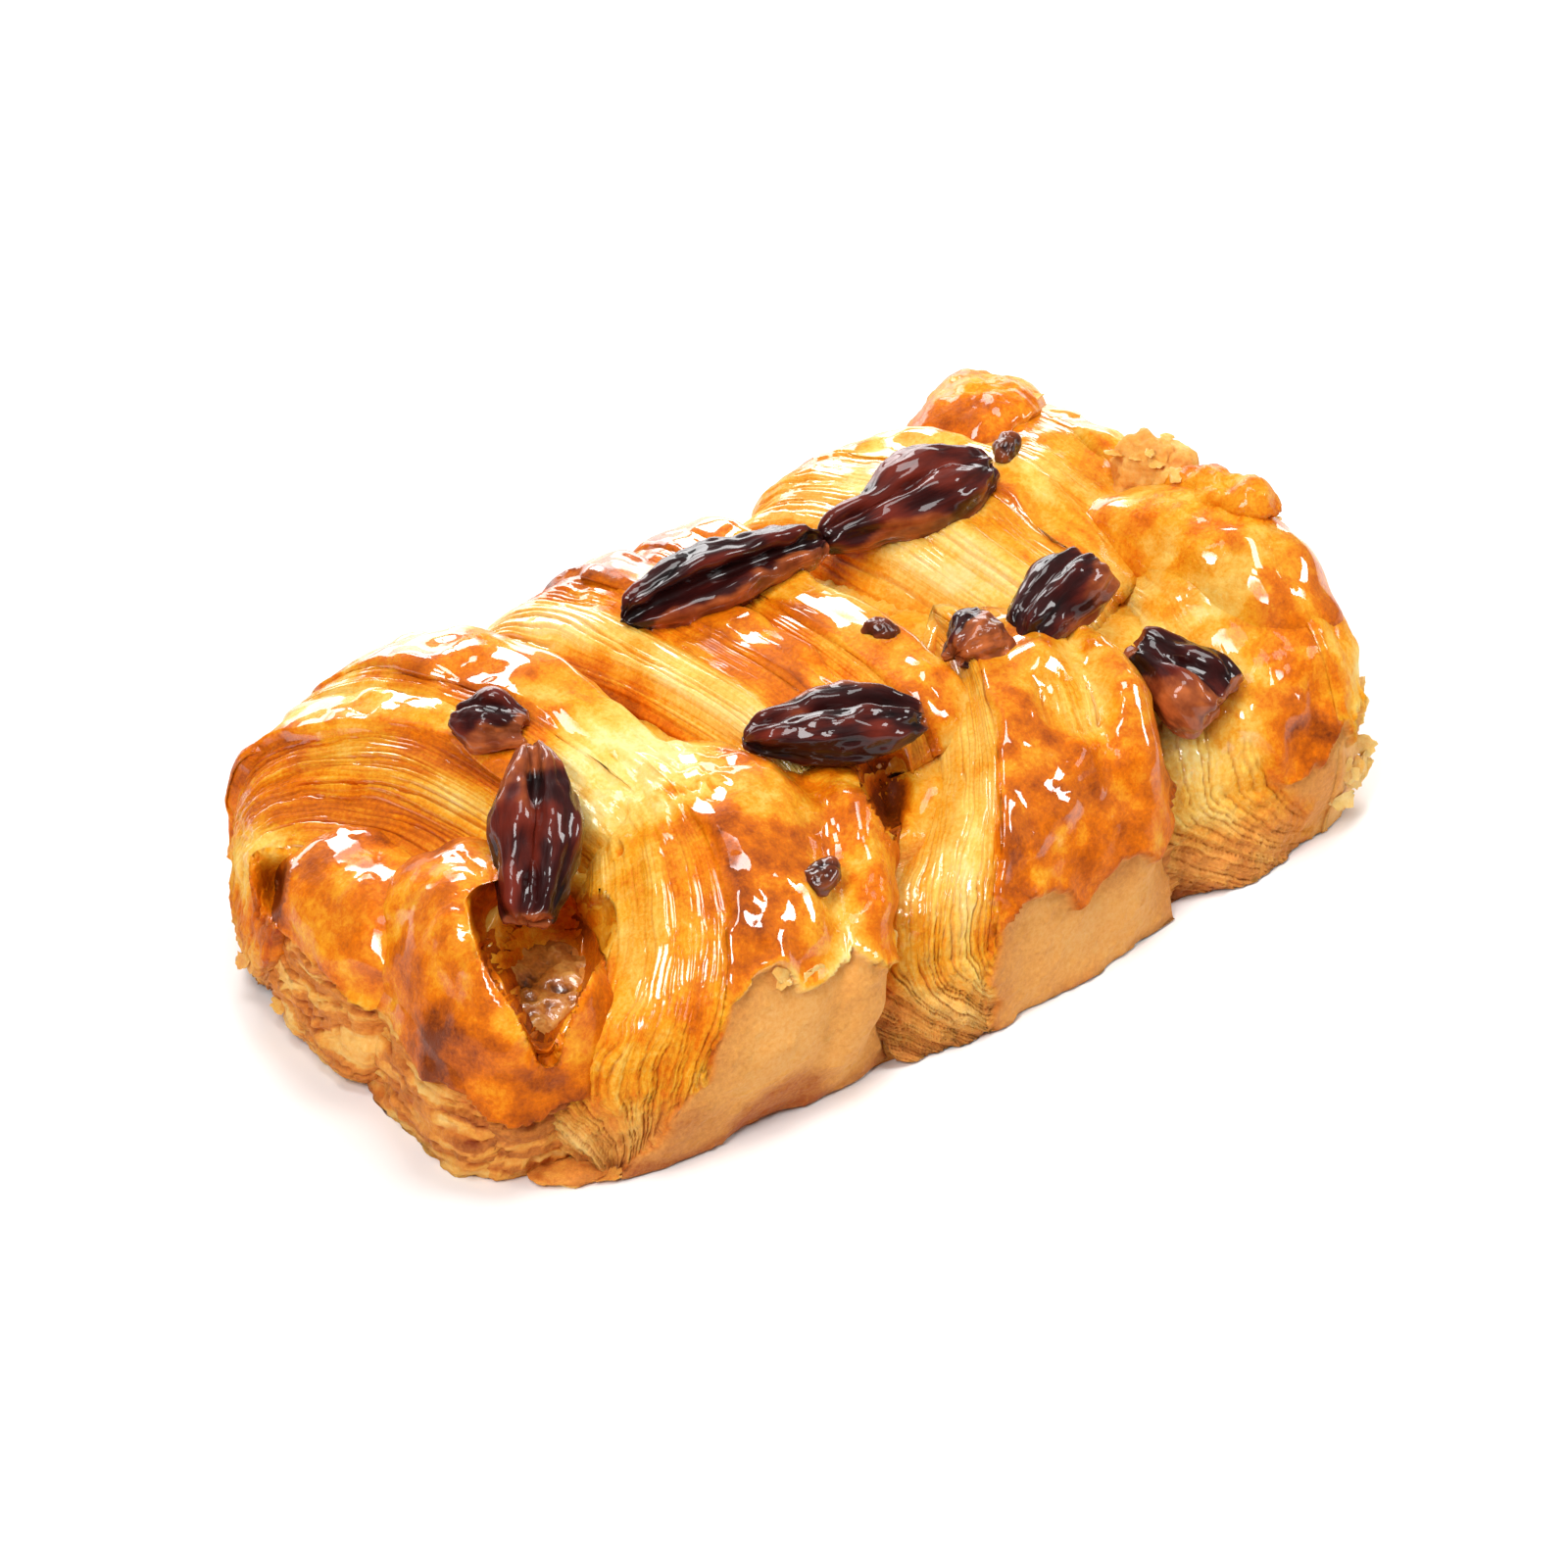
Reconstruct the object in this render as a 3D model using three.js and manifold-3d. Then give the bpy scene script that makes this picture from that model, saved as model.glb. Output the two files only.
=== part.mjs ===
// A glazed pecan plait: one braided, laminated pastry with a nut filling and pecan pieces on top.
// Millimetres, +Z up. X runs along the plait, -Y is its front side, and the origin is the middle of the base.
import * as THREE from "three";
import { mergeVertices } from "three/addons/utils/BufferGeometryUtils.js";
import Module from "manifold-3d";

const wasm = await Module();
wasm.setup();

// Driving dimensions of the whole pastry.
const LENGTH = 140;
const WIDTH = 79;
const BELLY_HEIGHT = 12;
const FOOT_ANGLE = -40;
const FOOT_TUCK = 0.05;
const END_ROUNDING = 4.5;
const FRONT_ROUNDING = 2.6;
const BACK_ROUNDING = 3.2;
const TOP_HEIGHTS = [31, 34.5, 33, 34.5, 34];
const GAP = 0.3;
// Moves the uneven pastry so that the middle of its base is the origin.
const SHIFT = [2.4, -0.5, 0];

// Strips of dough, folded up from one side and over the top. Each list of three gives a value at the base,
// half way along the strip and at its end: the places along X of its near edge, its ridge and its far edge,
// its lift off the loaf, and how far its band and its far edge drop. The cut, layered band runs from near to
// ridge, the glazed face from ridge to far. reach is the angle round the loaf, in degrees, where the near and the
// far edge end.
const FRONT = -1;
const BACK = 1;
const STRIPS = [
  { side: BACK, near: [-63, -68, -55], ridge: [-58, -55, -42], far: [-46, -44, -36], reach: [98, 92],
    lift: [0, 1.5, 1], bandDrop: [9, 11, 9], bandCurve: 1.4, farDrop: [4, 7, 7], endDrop: 5, groove: 0 },
  { side: BACK, near: [-52, -51, -43], ridge: [-47, -44, -34], far: [-32, -30, -22], reach: [100, 100],
    lift: [-2, 3, 1], bandDrop: [6, 7, 8], bandCurve: 2.2, farDrop: [4, 10, 8], endDrop: 5, groove: 0 },
  { side: BACK, near: [-28, -27, -20], ridge: [-11, -8, -5], far: [2, 3, 1], reach: [108, 112],
    lift: [-2, 1.5, -2], bandDrop: [6, 9, 10], bandCurve: 3, farDrop: [4, 5, 5], endDrop: 5, groove: 0 },
  { side: BACK, near: [-2, -1, -5], ridge: [5, 6, 3], far: [15, 16, 12], reach: [110, 114],
    lift: [-2, 0.5, -1.5], bandDrop: [4, 5, 6], bandCurve: 2, farDrop: [4, 6, 6], endDrop: 5, groove: 0 },
  { side: BACK, near: [17, 18, 22], ridge: [32, 34, 43], far: [45, 46, 51], reach: [108, 94],
    lift: [-2, 1.2, -1.5], bandDrop: [6, 8, 9], bandCurve: 3, farDrop: [4, 6, 6], endDrop: 7, groove: 0 },
  { side: BACK, near: [45, 46, 50], ridge: [59, 61, 58], far: [65, 66, 64], reach: [98, 92],
    lift: [1, 0, -0.5], bandDrop: [2, 2, 2], bandCurve: 1.4, farDrop: [4, 6, 6], endDrop: 4, groove: 0 },
  { side: FRONT, near: [-61, -63, -30], ridge: [-57, -44, -29], far: [-19, -17, -4], reach: [99, 62],
    lift: [-1.5, 0, 1], bandDrop: [7, 9, 9], bandCurve: 1.4, farDrop: [1, 7, 8], endDrop: 4, groove: 3.5 },
  { side: FRONT, near: [-18, -15, 19], ridge: [-6, -2, 20], far: [27, 29, 33], reach: [90, 64],
    lift: [2, 0, 1], bandDrop: [3, 10, 10], bandCurve: 1.4, farDrop: [1, 8, 8], endDrop: 4, groove: 2.5 },
  { side: FRONT, near: [28, 31, 46], ridge: [53, 55, 60], far: [62.5, 64, 64.5], reach: [90, 94],
    lift: [2, 0, -1.5], bandDrop: [4, 10, 9], bandCurve: 1.4, farDrop: [4, 4, 4], endDrop: 4, groove: 0 },
];
const STRIP_DEPTH = 12;
const ACROSS = 15;
const ALONG = 9;
const BAND_COLUMNS = 6;
const BAND_SHARE = BAND_COLUMNS / ACROSS;
const LAYER_STEP = 0.7;
const FAR_SHARE = 0.3;
const END_SHARE = 0.14;
const GROOVE_PLACE = 0.6;
const GROOVE_WIDTH = 0.12;
const STRIP_FLOOR = 0.3;

// The inner dough under the strips, the foot sheet round the base, and the folded lobes at the ends.
const CORE = { size: [132, 62], middle: 9, top: 26.5, rounding: 3.2 };
const FOOT = { size: [126, 71, 8], rounding: 4, slope: 0.03, layers: 4, step: 0.6 };
const LOBES = [
  { at: [-52, 2, 6], size: [26, 56, 22], turn: -6, rounding: 3.2 },
  { at: [-60, 8.5, 12], size: [18, 26, 26], turn: -8, lean: 0.1, rounding: 3 },
  { at: [-59, -11, 13], size: [18.6, 34, 34], turn: -12, lean: 0.1, rounding: 2.9 },
  { at: [-60, -6, 8], size: [17, 38, 25], turn: -16, lean: 0.1, rounding: 3 },
  { at: [56, -11.5, 14], size: [17.4, 39, 39], turn: 4, rounding: 2.8 },
  { at: [55.5, 26.5, 26], size: [18, 14, 14], turn: 30, rounding: 3.4 },
];
const CHIPS = [
  { at: [47.4, 13.7, 34.9], size: [5.5, 3.2, 3.2], turn: 30, rounding: 2.4 },
  { at: [-26.1, -32.3, 27.6], size: [5.5, 4, 3.4], turn: 10, rounding: 2.4 },
  { at: [8.6, -5.1, 32.4], size: [4.5, 3, 2.6], turn: -60, rounding: 2.4 },
];
const FLAKES = [
  { at: [59.5, 1, 31], size: [8, 9, 11], turn: 20, tilt: 15, rounding: 2.6 },
  { at: [61, -11, 32], size: [6, 13, 8], turn: 10, tilt: -20, rounding: 2.8 },
  { at: [-58, -27.5, 0.7], size: [15, 7, 1.4], turn: -19, rounding: 2.5 },
];

const FILLING = { at: [0, -7, 12.5], size: [126, 34, 10], rounding: 2.4 };
// Open pockets between the folds. The filling shows in the first.
const POCKETS = [
  { at: [-56.8, -19.2, 24.7], size: [21, 13, 34], turn: 47, tilt: -57, rounding: 2.2, taper: 0.55 },
  { at: [-64.5, 20, 18], size: [8.5, 5, 11], turn: 47, tilt: -57, rounding: 3, taper: 0.4 },
  { at: [-6.3, -23, 26.5], size: [12, 7, 15], turn: 47, tilt: -57, rounding: 2, taper: 0.75 },
];

// Pecans: where the middle lies, full length, width and height, how each is turned, tilted and rolled, where its
// ends are broken off, as shares of the half length, how much it narrows to its far end, bends and swells,
// where the swelling starts, and how deep its groove is.
const PECANS = [
  { name: "pecan_half_back", at: [2, 15.7, 34.6], size: [30, 9, 9], turn: -5, tilt: 0, roll: 48,
    ends: [-1, 1], taper: 0.12, bend: -0.1, swell: 0.1, phase: 2.6, groove: 0.6 },
  { name: "pecan_half_far", at: [29.7, 13, 34.2], size: [26, 9.5, 9], turn: -8, tilt: -6, roll: 20,
    ends: [-1, 1], taper: -0.3, bend: 0.1, swell: 0.14, phase: 0.4, groove: 0.25 },
  { name: "pecan_half_middle", at: [-8.4, -15.7, 32], size: [22, 11, 9], turn: -29, tilt: 0, roll: 0,
    ends: [-1, 0.94], taper: -0.1, bend: 0.08, swell: 0.08, phase: 1, groove: 0.55 },
  { name: "pecan_piece_front", at: [29.8, -13.6, 32.6], size: [18, 9, 10], turn: 8, tilt: -8, roll: -10,
    ends: [-1, 0.62], taper: 0, bend: -0.25, swell: 0.1, phase: 0.2, groove: 0.3 },
  { name: "pecan_piece_small", at: [16.1, -13.7, 32.7], size: [9, 8, 7], turn: 10, tilt: 0, roll: 15,
    ends: [-0.9, 0.6], taper: -0.3, bend: 0.1, swell: 0.1, phase: 2, groove: 0.1 },
  { name: "pecan_piece_end", at: [36.4, -28.3, 24.6], size: [17, 11.5, 9], turn: -70, tilt: 24, roll: 12,
    ends: [-0.9, 0.55], taper: -0.1, bend: 0.15, swell: 0.12, phase: 0.8, groove: 0.35 },
  { name: "pecan_piece_top", at: [-40.9, 7.7, 35.5], size: [11, 7.5, 7], turn: -55, tilt: 0, roll: 0,
    ends: [-0.85, 0.7], taper: 0.1, bend: 0.15, swell: 0.16, phase: 2.2, groove: 0.4 },
  { name: "pecan_half_near", at: [-48.4, -8.2, 31.6], size: [25, 10, 9], turn: 47, tilt: -25, roll: 0,
    ends: [-0.92, 1], taper: 0.2, bend: 0.12, swell: 0.1, phase: 1.2, groove: 0.4 },
];
const PECAN_ROUNDING = 2.3;
const PECAN_GROOVE_WIDTH = 0.2;
const PECAN_UNDERSIDE = 0.6;
const PECAN_SWELLS = 4.5;

const CRUST = new THREE.MeshStandardMaterial({ name: "crust", color: 0xd98a2b, roughness: 0.45 });
const NUT = new THREE.MeshStandardMaterial({ name: "pecan", color: 0x4a1c12, roughness: 0.3 });
const FILLING_LOOK = new THREE.MeshStandardMaterial({ name: "filling", color: 0x8a6a35, roughness: 0.5 });

const radians = THREE.MathUtils.degToRad;
const lerp = THREE.MathUtils.lerp;
const signedPower = (value, power) => Math.sign(value) * Math.pow(Math.abs(value), power);

function solidOf(geometry) {
  geometry.deleteAttribute("normal");
  geometry.deleteAttribute("uv");
  const merged = mergeVertices(geometry, 1e-4);
  return new wasm.Manifold(
    new wasm.Mesh({
      numProp: 3,
      vertProperties: new Float32Array(merged.attributes.position.array),
      triVerts: new Uint32Array(merged.index.array),
    }),
  );
}

function geometryOf(solid) {
  const mesh = solid.getMesh();
  return new THREE.BufferGeometry()
    .setAttribute("position", new THREE.BufferAttribute(mesh.vertProperties, 3))
    .setIndex(new THREE.BufferAttribute(mesh.triVerts, 1));
}

function reshape(geometry, place) {
  const position = geometry.attributes.position;
  const point = new THREE.Vector3();
  for (let i = 0; i < position.count; i++) {
    place(point.fromBufferAttribute(position, i));
    position.setXYZ(i, point.x, point.y, point.z);
  }
  return geometry;
}

// A smooth line through three values at 0, 0.5 and 1.
function through([start, middle, end], t) {
  return start * (1 - t) * (1 - 2 * t) + 4 * middle * t * (1 - t) + end * t * (2 * t - 1);
}

// The height of the top along the loaf, eased between the values of TOP_HEIGHTS.
function topHeight(x) {
  const place = THREE.MathUtils.clamp((x / LENGTH + 0.5) * (TOP_HEIGHTS.length - 1), 0, TOP_HEIGHTS.length - 1.001);
  const i = Math.floor(place);
  return lerp(TOP_HEIGHTS[i], TOP_HEIGHTS[i + 1], THREE.MathUtils.smoothstep(place - i, 0, 1));
}

// The smooth outer form the strips lie on: angle runs from one side's foot, past 0 at the belly, to 90 on top.
function loafPoint(x, angle, side) {
  const end = Math.min(1, Math.abs(x) / (LENGTH / 2 + 0.5));
  const round = Math.pow(1 - Math.pow(end, END_ROUNDING), 1 / END_ROUNDING);
  const half = (WIDTH / 2) * round;
  if (angle < 0) {
    const down = angle / FOOT_ANGLE;
    return new THREE.Vector3(x, side * half * (1 - FOOT_TUCK * down * down), BELLY_HEIGHT * (1 - down));
  }
  const rounding = side === FRONT ? FRONT_ROUNDING : BACK_ROUNDING;
  const out = signedPower(Math.cos(radians(angle)), 2 / rounding);
  const up = signedPower(Math.sin(radians(angle)), 2 / rounding);
  const rise = (topHeight(x) - BELLY_HEIGHT) * lerp(0.6, 1, round);
  return new THREE.Vector3(x, side * half * out, BELLY_HEIGHT + rise * up);
}

function loafNormal(x, angle, side) {
  const round = loafPoint(x, angle + 2, side).sub(loafPoint(x, angle - 2, side));
  return new THREE.Vector3(0, side * round.z, -side * round.y).normalize();
}

function stripHeight(strip, share, face, along) {
  let height = through(strip.lift, along);
  if (share < BAND_SHARE) {
    const step = Math.round(share * ACROSS) % 2 ? LAYER_STEP : 0;
    height -= through(strip.bandDrop, along) * Math.pow(1 - share / BAND_SHARE, strip.bandCurve) + step;
  }
  height -= through(strip.farDrop, along) * Math.pow(Math.max(0, (face - 1 + FAR_SHARE) / FAR_SHARE), 2);
  height -= strip.endDrop * Math.pow(Math.max(0, (along - 1 + END_SHARE) / END_SHARE), 2);
  const off = (face - GROOVE_PLACE) / GROOVE_WIDTH;
  return height - strip.groove * along * Math.exp(-off * off);
}

function stripPoint(strip, share, along, depth) {
  const near = through(strip.near, along);
  const ridge = through(strip.ridge, along);
  const far = through(strip.far, along);
  const face = Math.max(0, (share - BAND_SHARE) / (1 - BAND_SHARE));
  const x = share < BAND_SHARE ? lerp(near, ridge, share / BAND_SHARE) : lerp(ridge, far, face);
  const end = lerp(strip.reach[0], strip.reach[1], (x - near) / (far - near));
  const angle = lerp(FOOT_ANGLE, end, along);
  const height = lerp(stripHeight(strip, share, face, along), -STRIP_DEPTH, depth);
  const normal = loafNormal(x, angle, strip.side);
  const point = loafPoint(x, angle, strip.side).addScaledVector(normal, height);
  point.z = Math.max(point.z, STRIP_FLOOR);
  return point;
}

function stripSolid(strip) {
  const geometry = new THREE.BoxGeometry(1, 1, 1, ACROSS, ALONG, 1);
  reshape(geometry, (p) => p.copy(stripPoint(strip, p.x + 0.5, p.y + 0.5, 0.5 - p.z)));
  if (strip.side > 0) geometry.index.array.reverse();
  return solidOf(geometry);
}

function roundOut(p, power) {
  const length = Math.abs(p.x) ** power + Math.abs(p.y) ** power + Math.abs(p.z) ** power;
  return p.multiplyScalar(Math.pow(length, -1 / power));
}

function turnOf({ turn = 0, tilt = 0, roll = 0 }) {
  const angles = new THREE.Euler(radians(roll), radians(tilt), radians(turn), "ZYX");
  return new THREE.Matrix4().makeRotationFromEuler(angles);
}

// A rounded block: a unit sphere pushed out towards its box, then sized, narrowed towards its -X end by its taper,
// leant towards +X with height, turned and cut off at the base.
function roundedBlock(form, segments, grow) {
  const geometry = new THREE.SphereGeometry(1, segments * 2, segments).rotateX(Math.PI / 2);
  const turn = turnOf(form);
  const half = form.size.map((size) => size / 2 + grow);
  const taper = form.taper ?? 0;
  const lean = form.lean ?? 0;
  reshape(geometry, (p) => {
    roundOut(p, form.rounding);
    p.set(p.x * half[0] + lean * p.z * half[2], p.y * (1 + taper * p.x) * half[1], p.z * half[2]);
    p.applyMatrix4(turn).add(new THREE.Vector3(...form.at));
    p.z = Math.max(p.z, 0);
  });
  return solidOf(geometry);
}

function coreSolid() {
  const geometry = new THREE.SphereGeometry(1, 32, 14).rotateX(Math.PI / 2);
  reshape(geometry, (p) => {
    roundOut(p, CORE.rounding);
    const tall = p.z > 0 ? CORE.top - CORE.middle : CORE.middle;
    p.set((p.x * CORE.size[0]) / 2, (p.y * CORE.size[1]) / 2, CORE.middle + p.z * tall);
  });
  return solidOf(geometry);
}

function footSolid() {
  const geometry = new THREE.CylinderGeometry(1, 1, 1, 48, FOOT.layers).rotateX(Math.PI / 2);
  const power = FOOT.rounding;
  reshape(geometry, (p) => {
    const rise = p.z + 0.5;
    const step = Math.round(rise * FOOT.layers) % 2 ? FOOT.step : 0;
    const onRim = Math.hypot(p.x, p.y) > 0.5;
    const norm = onRim ? Math.pow(Math.abs(p.x) ** power + Math.abs(p.y) ** power, -1 / power) : 0;
    const wide = norm * (1 - FOOT.slope * rise);
    p.set(p.x * wide * (FOOT.size[0] / 2 - step), p.y * wide * (FOOT.size[1] / 2 - step), rise * FOOT.size[2]);
  });
  return solidOf(geometry);
}

// A pecan half: narrowed, bent and swollen along its length, grooved along the top, flat below, broken off square.
function pecanSolid(nut, grow) {
  const geometry = new THREE.SphereGeometry(1, 18, 10).rotateX(Math.PI / 2);
  const turn = turnOf(nut);
  const half = nut.size.map((size) => size / 2 + grow);
  reshape(geometry, (p) => {
    roundOut(p, PECAN_ROUNDING);
    const groove = nut.groove * Math.exp(-Math.pow(p.y / PECAN_GROOVE_WIDTH, 2)) * Math.max(0, p.z);
    const tall = p.z > 0 ? p.z - groove : p.z * PECAN_UNDERSIDE;
    const swell = 1 + nut.swell * Math.sin(PECAN_SWELLS * p.x + nut.phase);
    const wide = p.y * (1 - nut.taper * p.x) * swell + nut.bend * p.x * p.x;
    p.set(THREE.MathUtils.clamp(p.x, ...nut.ends) * half[0], wide * half[1], tall * swell * half[2]);
    p.applyMatrix4(turn).add(new THREE.Vector3(...nut.at));
  });
  return solidOf(geometry);
}

const group = new THREE.Group();
function add(name, solid, material) {
  const mesh = new THREE.Mesh(geometryOf(solid.translate(SHIFT)), material);
  mesh.name = name;
  group.add(mesh);
}

let braid = coreSolid().add(footSolid());
for (const strip of STRIPS) braid = braid.add(stripSolid(strip));
for (const lobe of LOBES) braid = braid.add(roundedBlock(lobe, 9, 0));
for (const chip of CHIPS) braid = braid.add(roundedBlock(chip, 6, 0));
for (const flake of FLAKES) braid = braid.add(roundedBlock(flake, 6, 0));
for (const pocket of POCKETS) braid = braid.subtract(roundedBlock(pocket, 10, 0));
braid = braid.subtract(roundedBlock(FILLING, 10, GAP));
for (const nut of PECANS) braid = braid.subtract(pecanSolid(nut, GAP));
const bodies = braid.decompose().sort((a, b) => b.volume() - a.volume());
add("braid", bodies[0], CRUST);
add("filling", roundedBlock(FILLING, 10, 0), FILLING_LOOK);
for (const nut of PECANS) add(nut.name, pecanSolid(nut, 0), NUT);

export default group;
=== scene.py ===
# A glazed pecan plait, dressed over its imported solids: layered strips, folded ends, pecans and filling.
# Sizes are in millimetres until a mesh is made. X runs along the plait, -Y is its front, Z is up.
import math
from types import SimpleNamespace

import bpy
import numpy as np
from mathutils import Euler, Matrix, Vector


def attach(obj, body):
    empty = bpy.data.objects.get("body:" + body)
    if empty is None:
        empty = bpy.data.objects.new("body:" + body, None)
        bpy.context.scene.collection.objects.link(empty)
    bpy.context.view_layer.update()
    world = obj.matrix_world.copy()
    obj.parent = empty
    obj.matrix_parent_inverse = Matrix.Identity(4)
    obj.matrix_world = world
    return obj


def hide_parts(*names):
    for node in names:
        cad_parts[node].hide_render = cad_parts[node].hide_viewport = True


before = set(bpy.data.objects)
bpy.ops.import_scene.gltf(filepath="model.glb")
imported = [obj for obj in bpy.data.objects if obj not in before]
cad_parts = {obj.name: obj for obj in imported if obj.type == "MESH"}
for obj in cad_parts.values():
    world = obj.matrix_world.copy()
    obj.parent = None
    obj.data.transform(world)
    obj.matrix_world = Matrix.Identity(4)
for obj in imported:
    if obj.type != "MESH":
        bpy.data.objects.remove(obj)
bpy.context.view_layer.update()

MM = 0.001
# Moves the uneven plait so that the middle of its base is the origin
SHIFT = np.array([2.4, -0.5, 0])

# The whole plait, as in its solids
LENGTH = 140
WIDTH = 79
BELLY_HEIGHT = 12
FOOT_ANGLE = -40
FOOT_TUCK = 0.05
END_ROUNDING = 4.5
FRONT_ROUNDING = 2.6
BACK_ROUNDING = 3.2
END_HEIGHT = 0.6
NORMAL_STEP = 2
TOP_HEIGHTS = np.array([31, 34.5, 33, 34.5, 34])

# The strips. near, ridge and far are places along X of a strip's near edge, ridge and far edge, at its base,
# half way and at its end. reach is how far round the loaf both edges go, in degrees. lift raises the strip,
# the drops lower its band, far edge and end, and groove is a dent along its face.
# layers is how many show in the cut band, and sweep how many of them turn along the foot. opened is how far
# they have come apart, above and at the foot. wash is where the glazed skin starts, beside the ridge and the
# far edge. smooth is from which share of the band on, and how far, skin covers the layers. Tones run from 0,
# pale, to 1, dark. The crease tone is painted shade added where the band dips into the crease, and edge_tone
# is added along the skin's lower edge.
BACK = 1
FRONT = -1
STRIPS = {
    "strip_back_1": dict(
        side=BACK, near=(-63, -68, -55), ridge=(-58, -55, -42), far=(-46, -44, -36), reach=(98, 92),
        lift=(0, 1.5, 1), band_drop=(9, 11, 9), band_curve=1.4, far_drop=(4, 7, 7), end_drop=5, groove=0,
        layers=24, wash=(0.3, 0.3), band_tone=0.5, face_tone=0.45, crease_shade=0, edge_tone=0,
        opened=(0.8, 1), smooth=(1, 0), sweep=0),
    "strip_back_2": dict(
        side=BACK, near=(-52, -51, -43), ridge=(-47, -44, -34), far=(-32, -30, -22), reach=(100, 100),
        lift=(-2, 3, 1), band_drop=(6, 7, 8), band_curve=2.2, far_drop=(4, 10, 8), end_drop=5, groove=0,
        layers=16, wash=(0.3, 0.3), band_tone=0.44, face_tone=0.47, crease_shade=0.3, edge_tone=0,
        opened=(0.7, 1), smooth=(0.65, 0.6), sweep=4),
    "strip_back_3": dict(
        side=BACK, near=(-28, -27, -20), ridge=(-11, -8, -5), far=(2, 3, 1), reach=(108, 112),
        lift=(-2, 1.5, -2), band_drop=(6, 9, 10), band_curve=3, far_drop=(4, 5, 5), end_drop=5, groove=0,
        layers=24, wash=(0.3, 0.3), band_tone=0.28, face_tone=0.56, crease_shade=0.45, edge_tone=0,
        opened=(0.65, 0.8), smooth=(0.75, 0.55), sweep=5),
    "strip_back_4": dict(
        side=BACK, near=(-2, -1, -5), ridge=(5, 6, 3), far=(15, 16, 12), reach=(110, 114),
        lift=(-2, 0.5, -1.5), band_drop=(4, 5, 6), band_curve=2, far_drop=(4, 6, 6), end_drop=5, groove=0,
        layers=12, wash=(0.3, 0.3), band_tone=0.38, face_tone=0.47, crease_shade=0.3, edge_tone=0,
        opened=(0.5, 0.8), smooth=(0.5, 0.6), sweep=4),
    "strip_back_5": dict(
        side=BACK, near=(17, 18, 22), ridge=(32, 34, 43), far=(45, 46, 51), reach=(108, 94),
        lift=(-2, 1.2, -1.5), band_drop=(6, 8, 9), band_curve=3, far_drop=(4, 6, 6), end_drop=7, groove=0,
        layers=26, wash=(0.3, 0.3), band_tone=0.28, face_tone=0.33, crease_shade=0.3, edge_tone=0,
        opened=(0.45, 0.8), smooth=(0.6, 0.55), sweep=5),
    "strip_back_6": dict(
        side=BACK, near=(45, 46, 50), ridge=(59, 61, 58), far=(65, 66, 64), reach=(98, 92),
        lift=(1, 0, -0.5), band_drop=(2, 2, 2), band_curve=1.4, far_drop=(4, 6, 6), end_drop=4, groove=0,
        layers=18, wash=(0.34, 0.34), band_tone=0.27, face_tone=0.33, crease_shade=0.15, edge_tone=0,
        opened=(0.3, 0.8), smooth=(0.4, 0.6), sweep=4),
    "strip_front_2": dict(
        side=FRONT, near=(-61, -63, -30), ridge=(-57, -44, -29), far=(-19, -17, -4), reach=(99, 62),
        lift=(-1.5, 0, 1), band_drop=(7, 9, 9), band_curve=1.4, far_drop=(1, 7, 8), end_drop=4, groove=3.5,
        layers=26, wash=(0.51, 0.49), band_tone=0.38, face_tone=0.48, crease_shade=0.1, edge_tone=-0.4,
        opened=(0.25, 0.9), smooth=(1, 0), sweep=14),
    "strip_front_3": dict(
        side=FRONT, near=(-18, -15, 19), ridge=(-6, -2, 20), far=(27, 29, 33), reach=(90, 64),
        lift=(2, 0, 1), band_drop=(3, 10, 10), band_curve=1.4, far_drop=(1, 8, 8), end_drop=4, groove=2.5,
        layers=20, wash=(0.34, 0.41), band_tone=0.38, face_tone=0.5, crease_shade=0.2, edge_tone=0.15,
        opened=(0.35, 0.75), smooth=(1, 0), sweep=18),
    "strip_front_4": dict(
        side=FRONT, near=(28, 31, 46), ridge=(53, 55, 60), far=(62.5, 64, 64.5), reach=(90, 94),
        lift=(2, 0, -1.5), band_drop=(4, 10, 9), band_curve=1.4, far_drop=(4, 4, 4), end_drop=4, groove=0,
        layers=22, wash=(0.3, 0.3), band_tone=0.26, face_tone=0.31, crease_shade=0.1, edge_tone=0,
        opened=(0.3, 0.55), smooth=(0.28, 0.9), sweep=16),
}
BAND_SHARE = 0.4
LAYER_STEP = 0.7
FAR_SHARE = 0.3
END_SHARE = 0.14
GROOVE_WIDTH = 0.12
GROOVE_PLACE = 0.6
STRIP_FLOOR = 0.3
BAND_COLUMNS = 120
FACE_COLUMNS = 64
STRIP_ROWS = 150
ROW_CROWDING = 1.25
SWEEP_TOP = 0.38
# The point inside the plait on which the back of a strip closes
STRIP_BACK = dict(y=12, z=13)

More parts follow.
